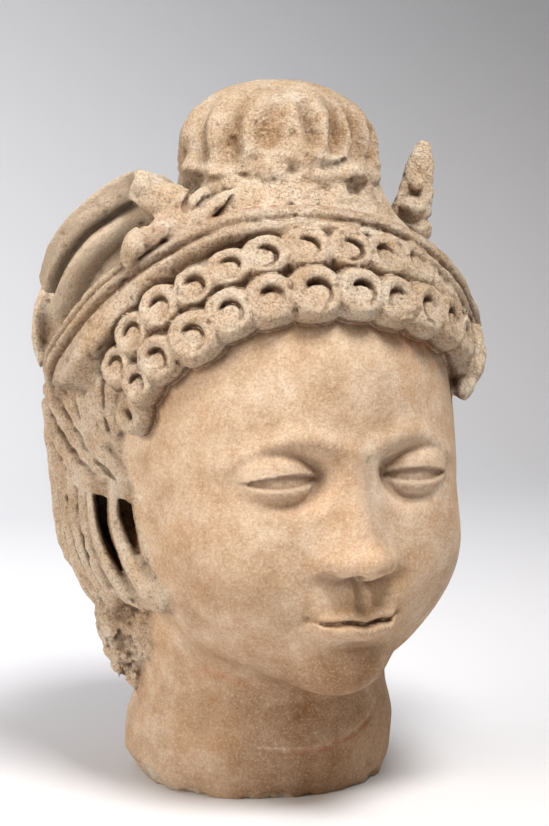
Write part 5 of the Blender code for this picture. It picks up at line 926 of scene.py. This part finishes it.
pts, faces = skin_of(base_cut, (-200, -248, -16), (184, 192, 560), GRID)
R = {}
def relief_of(p):
    return relief(p, regions(p))
nrm = corner_normals(pts, faces)
height = in_parts(relief_of, pts, 60000)
height *= step(pts[:, 2], 0.5, 4.0)
pts = pts + nrm * height[:, None]
pts[pts[:, 2] < 0.45, 2] = 0.0

me = bpy.data.meshes.new("stucco_head_surface")
me.vertices.add(len(pts)); me.vertices.foreach_set("co", (pts * 0.001).ravel())
me.loops.add(faces.size); me.loops.foreach_set("vertex_index", faces.ravel().astype(np.int32))
me.polygons.add(len(faces))
me.polygons.foreach_set("loop_start", np.arange(0, faces.size, 4, dtype=np.int32))
me.update(calc_edges=True)
head = bpy.data.objects.new("head_surface", me)
bpy.context.scene.collection.objects.link(head)

# thinned out where it is even
m = head.modifiers.new("thin", "DECIMATE")
m.ratio = min(1.0, MOST_TRIANGLES / (2.0 * len(faces)))
m.use_collapse_triangulate = True
bpy.context.view_layer.update()
thin = bpy.data.meshes.new_from_object(head.evaluated_get(bpy.context.evaluated_depsgraph_get()))
head.modifiers.clear()
old = head.data; head.data = thin; bpy.data.meshes.remove(old)
me = head.data
me.name = "stucco_head_surface"
me.shade_smooth()
n = len(me.vertices)
co = np.empty(n * 3); me.vertices.foreach_get("co", co); co = co.reshape(-1, 3) / 0.001
no = np.empty(n * 3); me.vertices.foreach_get("normal", no); no = no.reshape(-1, 3)

def layer(name, values):
    a = me.attributes.new(name, "FLOAT", "POINT")
    a.data.foreach_set("value", np.clip(values, 0, 1).astype(np.float32))

# ---- how enclosed each point is, for the painted shade in the hollows, and where it is worn off, from the form itself
R = regions(co)
hollow = np.zeros(n); ridge = np.zeros(n)
for reach, weight in ((3.0, 0.35), (7.0, 0.35), (15.0, 0.30)):
    out = in_parts(whole, co + no * reach)
    hollow += weight * np.clip(1.0 - out / reach, 0, 1)
    ridge += weight * np.clip(-in_parts(whole, co - no * reach * 0.6) / (reach * 0.6), 0, 1)
layer("hollow", hollow)
layer("ridge", 1.0 - ridge)
layer("skin", R["skin"])
layer("warm", np.clip(R["skin"] + 0.35 * R["loop"] + 0.25 * R["band"], 0, 1))
# ---- where red paint is left
Lb, ab, hb, _ = BAND.coords(co)
red = R["band"] * np.exp(-((ab - 3.6) / 2.2) ** 2) * (hb > 2) * (np.abs(theta_phi(co)[0]) < 52)
turn = np.degrees(np.arctan2(co[:, 0], -co[:, 1]))
crease = np.exp(-((co[:, 2] - np.interp(turn, *CREASE) + 1.0) / 3.0) ** 2) * (1 - step(np.abs(turn - 12), 14, 26)) * (co[:, 2] < 80)
jaw = np.exp(-((co[:, 2] - 100.0 + 0.3 * (co[:, 0] + 72.0)) / 3.0) ** 2) * np.exp(-((co[:, 0] + 72.0) / 22.0) ** 2) * (co[:, 1] < -30)
hairline = R["skin"] * (co[:, 2] > 345) * step(co[:, 0], 30, 60)
layer("red", np.clip(red + R["skin"] * (0.9 * crease + 0.6 * jaw) + 0.7 * hairline + 0.35 * belongs(co, lambda q: tube(q, STEM, STEM_R), (-150, -112, 398), (-55, -60, 475)), 0, 1))
# ---- stain and painted shade: browner stain with the chin's painted shadow under the chin and down the front of the neck, a darker patch on the near cheek, and painted shade in the topknot's hollows, the ear slits and the curls
q, way = knot_frame(co)
stain_and_shade = R["skin"] * (1 - step(co[:, 2], 104, 150)) * (0.12 + 0.88 * np.exp(-((turn + 4.0) / 38.0) ** 2) + 0.45 * np.exp(-((turn - 62.0) / 26.0) ** 2))
stain_and_shade = stain_and_shade + R["skin"] * 0.35 * np.exp(-((co[:, 2] - 165.0) / 45.0) ** 2) * np.exp(-((turn + 38.0) / 16.0) ** 2)
# painted shade in the topknot's hollows and on its right side, away from the key light
stain_and_shade = np.maximum(stain_and_shade, R["knot"] * np.clip(np.clip(knot_dug(way, q[:, 2]) / 8.0, 0, 1) * 0.95 + 0.40 * step(way, 10, 60) * step(way, 175, 150), 0, 1))
# painted shade in the deep slits beside the ear
m = near_box(co, (-170, -92, 172), (-98, 12, 250), 2)
slit = np.zeros(len(co)); slit[m] = 1.0 - step(ear_slits(co[m]), 0.5, 3.0)
stain_and_shade = np.maximum(stain_and_shade, slit)
# painted shade on the curls, deeper in their hollows and seams
stain_and_shade = np.maximum(stain_and_shade, R["curls"] * (0.18 + 0.5 * hollow))
layer("stain_and_shade", stain_and_shade)
print("surface", len(faces) * 2, "->", len(me.polygons), "triangles")

head.name = "stucco_head_surface"
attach(head, "root"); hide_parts("stucco_head")

# ---------------------------------------------------------------- material
def srgb(r, g, b):
    f = lambda v: (v / 255.0 / 12.92) if v / 255.0 <= 0.04045 else ((v / 255.0 + 0.055) / 1.055) ** 2.4
    return (f(r), f(g), f(b), 1.0)

class Nodes:
    def __init__(s, mat):
        mat.use_nodes = True
        s.t = mat.node_tree
        s.t.nodes.clear()
    def add(s, kind, **values):
        n = s.t.nodes.new(kind)
        for k, v in values.items():
            setattr(n, k, v)
        return n
    def link(s, a, b):
        s.t.links.new(a, b)
    def math(s, op, a, b=None, clamp=False):
        n = s.add("ShaderNodeMath", operation=op, use_clamp=clamp)
        for k, v in enumerate((a, b)):
            if v is None:
                continue
            if isinstance(v, (int, float)):
                n.inputs[k].default_value = v
            else:
                s.link(v, n.inputs[k])
        return n.outputs[0]
    def noise(s, at, scale, detail=4.0, rough=0.55, kind="FBM", lac=2.0):
        n = s.add("ShaderNodeTexNoise", noise_type=kind)
        s.link(at, n.inputs["Vector"])
        n.inputs["Scale"].default_value = scale; n.inputs["Detail"].default_value = detail
        n.inputs["Roughness"].default_value = rough; n.inputs["Lacunarity"].default_value = lac
        return n.outputs["Fac"]
    def ramp(s, at, *stops, mode="LINEAR"):
        n = s.add("ShaderNodeValToRGB")
        n.color_ramp.interpolation = mode
        e = n.color_ramp.elements
        while len(e) < len(stops):
            e.new(0.5)
        for q, (pos, col) in zip(e, stops):
            q.position = pos
            q.color = col if len(col) == 4 else (col[0], col[0], col[0], 1.0)
        s.link(at, n.inputs["Fac"])
        return n.outputs["Color"]
    def mix(s, fac, a, b, blend="MIX"):
        n = s.add("ShaderNodeMix", data_type="RGBA", blend_type=blend)
        n.clamp_factor = True
        for sock, v in ((n.inputs[0], fac), (n.inputs[6], a), (n.inputs[7], b)):
            if isinstance(v, (int, float)):
                sock.default_value = v
            elif isinstance(v, tuple):
                sock.default_value = v
            else:
                s.link(v, sock)
        return n.outputs[2]
    def value_of(s, name):
        return s.add("ShaderNodeAttribute", attribute_name=name, attribute_type="GEOMETRY").outputs["Fac"]

def stucco():
    mat = bpy.data.materials.new("lime_stucco")
    N = Nodes(mat)
    at = N.add("ShaderNodeTexCoord").outputs["Object"]
    skin, hollow, ridge, red, warm, stain_and_shade = (N.value_of(k) for k in ("skin", "hollow", "ridge", "red", "warm", "stain_and_shade"))
    broad = N.noise(at, 9.0, 4, 0.6)
    patch = N.noise(at, 17.0, 5, 0.7)
    mid = N.noise(at, 42.0, 6, 0.66)
    fine = N.noise(at, 480.0, 4, 0.75)
    speck = N.noise(at, 800.0, 3, 0.7)
    grain = N.noise(at, 1100.0, 2, 0.7)
    # ground colour: pale sandy hair, warmer and smoother skin
    hair = N.ramp(mid, (0.28, srgb(212, 180, 146)), (0.50, srgb(236, 213, 186)), (0.72, srgb(252, 240, 222)))
    flesh = N.ramp(mid, (0.28, srgb(166, 136, 107)), (0.50, srgb(190, 165, 140)), (0.74, srgb(210, 191, 170)))
    col = N.mix(warm, hair, flesh)
    # brown patches where the surface is stained, ochre where it is rubbed
    col = N.mix(N.math("MULTIPLY", N.ramp(patch, (0.50, (0.0,)), (0.66, (1.0,))), 0.40), col, srgb(180, 140, 98))
    col = N.mix(N.math("MULTIPLY", N.ramp(broad, (0.40, (0.0,)), (0.68, (1.0,))), 0.30), col, srgb(200, 162, 120))
    # painted shade and brown stain: darker and browner where the stain_and_shade layer is set
    col = N.mix(N.math("MULTIPLY", stain_and_shade, N.ramp(mid, (0.25, (1.0,)), (0.65, (0.70,)))), col, N.mix(1.0, col, (0.52, 0.40, 0.29, 1.0), "MULTIPLY"))
    # specks of sand, light and dark
    col = N.mix(N.math("MULTIPLY", N.ramp(fine, (0.34, (1.0,)), (0.49, (0.0,))), N.math("SUBTRACT", 0.62, N.math("MULTIPLY", skin, 0.30))), col, srgb(112, 80, 50))
    col = N.mix(N.math("MULTIPLY", N.ramp(fine, (0.53, (0.0,)), (0.66, (1.0,))), N.math("SUBTRACT", 0.50, N.math("MULTIPLY", skin, 0.28))), col, srgb(244, 230, 208))
    col = N.mix(N.math("MULTIPLY", N.ramp(speck, (0.28, (1.0,)), (0.39, (0.0,))), 0.60), col, srgb(88, 58, 34))
    # painted shade in the hollows, from how enclosed each point is; pale worn edges
    hollow_shade = N.math("MULTIPLY", N.ramp(hollow, (0.15, (0.0,)), (0.34, (0.45,)), (0.64, (1.0,))), N.ramp(mid, (0.30, (0.65,)), (0.6, (1.0,))))
    col = N.mix(N.math("MULTIPLY", hollow_shade, 0.88), col, srgb(96, 62, 34))
    col = N.mix(N.math("MULTIPLY", N.ramp(ridge, (0.25, (0.0,)), (0.65, (0.6,))), 0.8), col, srgb(240, 222, 198))
    col = N.mix(N.math("MULTIPLY", red, N.ramp(N.noise(at, 120.0, 4, 0.6), (0.40, (0.0,)), (0.58, (0.85,)))), col, srgb(168, 98, 62))
    p = N.add("ShaderNodeBsdfPrincipled")
    N.link(col, p.inputs["Base Color"])
    N.link(N.ramp(mid, (0.3, (0.96,)), (0.7, (0.84,))), p.inputs["Roughness"])
    p.inputs["Specular IOR Level"].default_value = 0.22
    # grain
    h = N.math("ADD", N.math("ADD", N.math("MULTIPLY", N.noise(at, 560.0, 4, 0.80), 1.0), N.math("MULTIPLY", N.noise(at, 210.0, 3, 0.6), 1.4)), N.math("MULTIPLY", grain, 0.55))
    pits = N.add("ShaderNodeTexVoronoi", feature="F1"); N.link(at, pits.inputs["Vector"]); pits.inputs["Scale"].default_value = 330.0
    pits.inputs["Randomness"].default_value = 1.0
    h = N.math("ADD", h, N.math("MULTIPLY", N.ramp(pits.outputs["Distance"], (0.0, (0.0,)), (0.32, (1.0,))), 0.30))
    depth = N.add("ShaderNodeMapRange"); N.link(skin, depth.inputs["Value"])
    depth.inputs["To Min"].default_value = 0.95; depth.inputs["To Max"].default_value = 0.34
    b = N.add("ShaderNodeBump"); b.inputs["Distance"].default_value = 0.0034
    N.link(depth.outputs["Result"], b.inputs["Strength"]); N.link(h, b.inputs["Height"])
    N.link(b.outputs["Normal"], p.inputs["Normal"])
    out = N.add("ShaderNodeOutputMaterial"); N.link(p.outputs[0], out.inputs[0])
    return mat

head.data.materials.clear()
head.data.materials.append(stucco())

# ---------------------------------------------------------------- floor and backdrop, light, camera
def sweep():
    """A floor that turns up into a wall behind the head."""
    rows = [(-3.2, 0.0), (1.2, 0.0)]
    rows += [(1.2 + 1.1 * math.sin(t), 1.1 - 1.1 * math.cos(t)) for t in np.linspace(0.15, math.pi / 2, 12)]
    rows += [(2.3, 4.2)]
    verts = [(x, y, z) for y, z in rows for x in (-3.6, 3.6)]
    quads = [(2 * i, 2 * i + 1, 2 * i + 3, 2 * i + 2) for i in range(len(rows) - 1)]
    m = bpy.data.meshes.new("floor"); m.from_pydata(verts, [], quads); m.shade_smooth()
    o = bpy.data.objects.new("floor", m)
    bpy.context.scene.collection.objects.link(o)
    mat = bpy.data.materials.new("pale_floor")
    N = Nodes(mat)
    at = N.add("ShaderNodeTexCoord").outputs["Object"]
    sep = N.add("ShaderNodeSeparateXYZ"); N.link(at, sep.inputs[0])
    fade = N.add("ShaderNodeMapRange", interpolation_type="SMOOTHSTEP"); N.link(sep.outputs["Z"], fade.inputs["Value"])
    fade.inputs["From Min"].default_value = 0.0; fade.inputs["From Max"].default_value = 1.5
    side = N.add("ShaderNodeMapRange"); N.link(sep.outputs["X"], side.inputs["Value"])
    side.inputs["From Min"].default_value = 0.1; side.inputs["From Max"].default_value = 2.0
    # painted shade on the backdrop: darker grey as it rises up the wall, darker still towards its right side
    col = N.mix(fade.outputs["Result"], (0.70, 0.70, 0.72, 1), (0.35, 0.36, 0.38, 1))
    col = N.mix(N.math("MULTIPLY", side.outputs["Result"], fade.outputs["Result"]), col, (0.30, 0.31, 0.335, 1))
    p = N.add("ShaderNodeBsdfPrincipled"); N.link(col, p.inputs["Base Color"])
    N.link(N.ramp(N.noise(at, 30.0, 3, 0.5), (0.3, (0.72,)), (0.7, (0.82,))), p.inputs["Roughness"])
    p.inputs["Specular IOR Level"].default_value = 0.2
    out = N.add("ShaderNodeOutputMaterial"); N.link(p.outputs[0], out.inputs[0])
    o.data.materials.append(mat)

sweep()

def softbox(name, place, aim, size, watts, colour=(1, 1, 1), size_y=None):
    L = bpy.data.lights.new(name, "AREA")
    L.energy = watts; L.color = colour; L.size = size
    if size_y:
        L.shape = "RECTANGLE"; L.size_y = size_y
    o = bpy.data.objects.new(name, L)
    bpy.context.scene.collection.objects.link(o)
    o.location = place
    o.rotation_mode = "QUATERNION"
    o.rotation_quaternion = (Vector(place) - Vector(aim)).to_track_quat("Z", "Y")

softbox("key", (0.06, -0.96, 1.98), (0, 0, 0.30), 0.7, 57, (1.0, 0.985, 0.965))
softbox("side", (-1.75, -0.45, 0.75), (0, 0, 0.28), 0.9, 25.0, (1.0, 0.91, 0.82))
softbox("front", (0.75, -2.1, 0.75), (0, 0, 0.28), 1.3, 1.5, (1.0, 0.82, 0.66))
softbox("back_wall", (-0.6, 0.7, 1.5), (-0.5, 2.3, 0.3), 1.6, 27, (0.90, 0.94, 1.0))

world = bpy.data.worlds.new("studio")
bpy.context.scene.world = world
world.use_nodes = True
world.node_tree.nodes["Background"].inputs["Color"].default_value = (1.0, 0.84, 0.68, 1.0)
world.node_tree.nodes["Background"].inputs["Strength"].default_value = 0.11

cam = bpy.data.cameras.new("camera")
cam.lens = 100.0
view = bpy.data.objects.new("camera", cam)
bpy.context.scene.collection.objects.link(view)
az, el, far = math.radians(-23.5), math.radians(7.0), 1.816
b = Vector((math.sin(az) * math.cos(el), -math.cos(az) * math.cos(el), math.sin(el)))
view.location = Vector((0, 0, 0.286)) + b * far
view.rotation_mode = "QUATERNION"
view.rotation_quaternion = (-b).to_track_quat("-Z", "Y")
cam.shift_x = 19.5 / 826.0
cam.shift_y = -1.57 / 826.0
bpy.context.scene.camera = view
bpy.context.scene.view_settings.view_transform = "Standard"
bpy.context.scene.view_settings.look = "None"
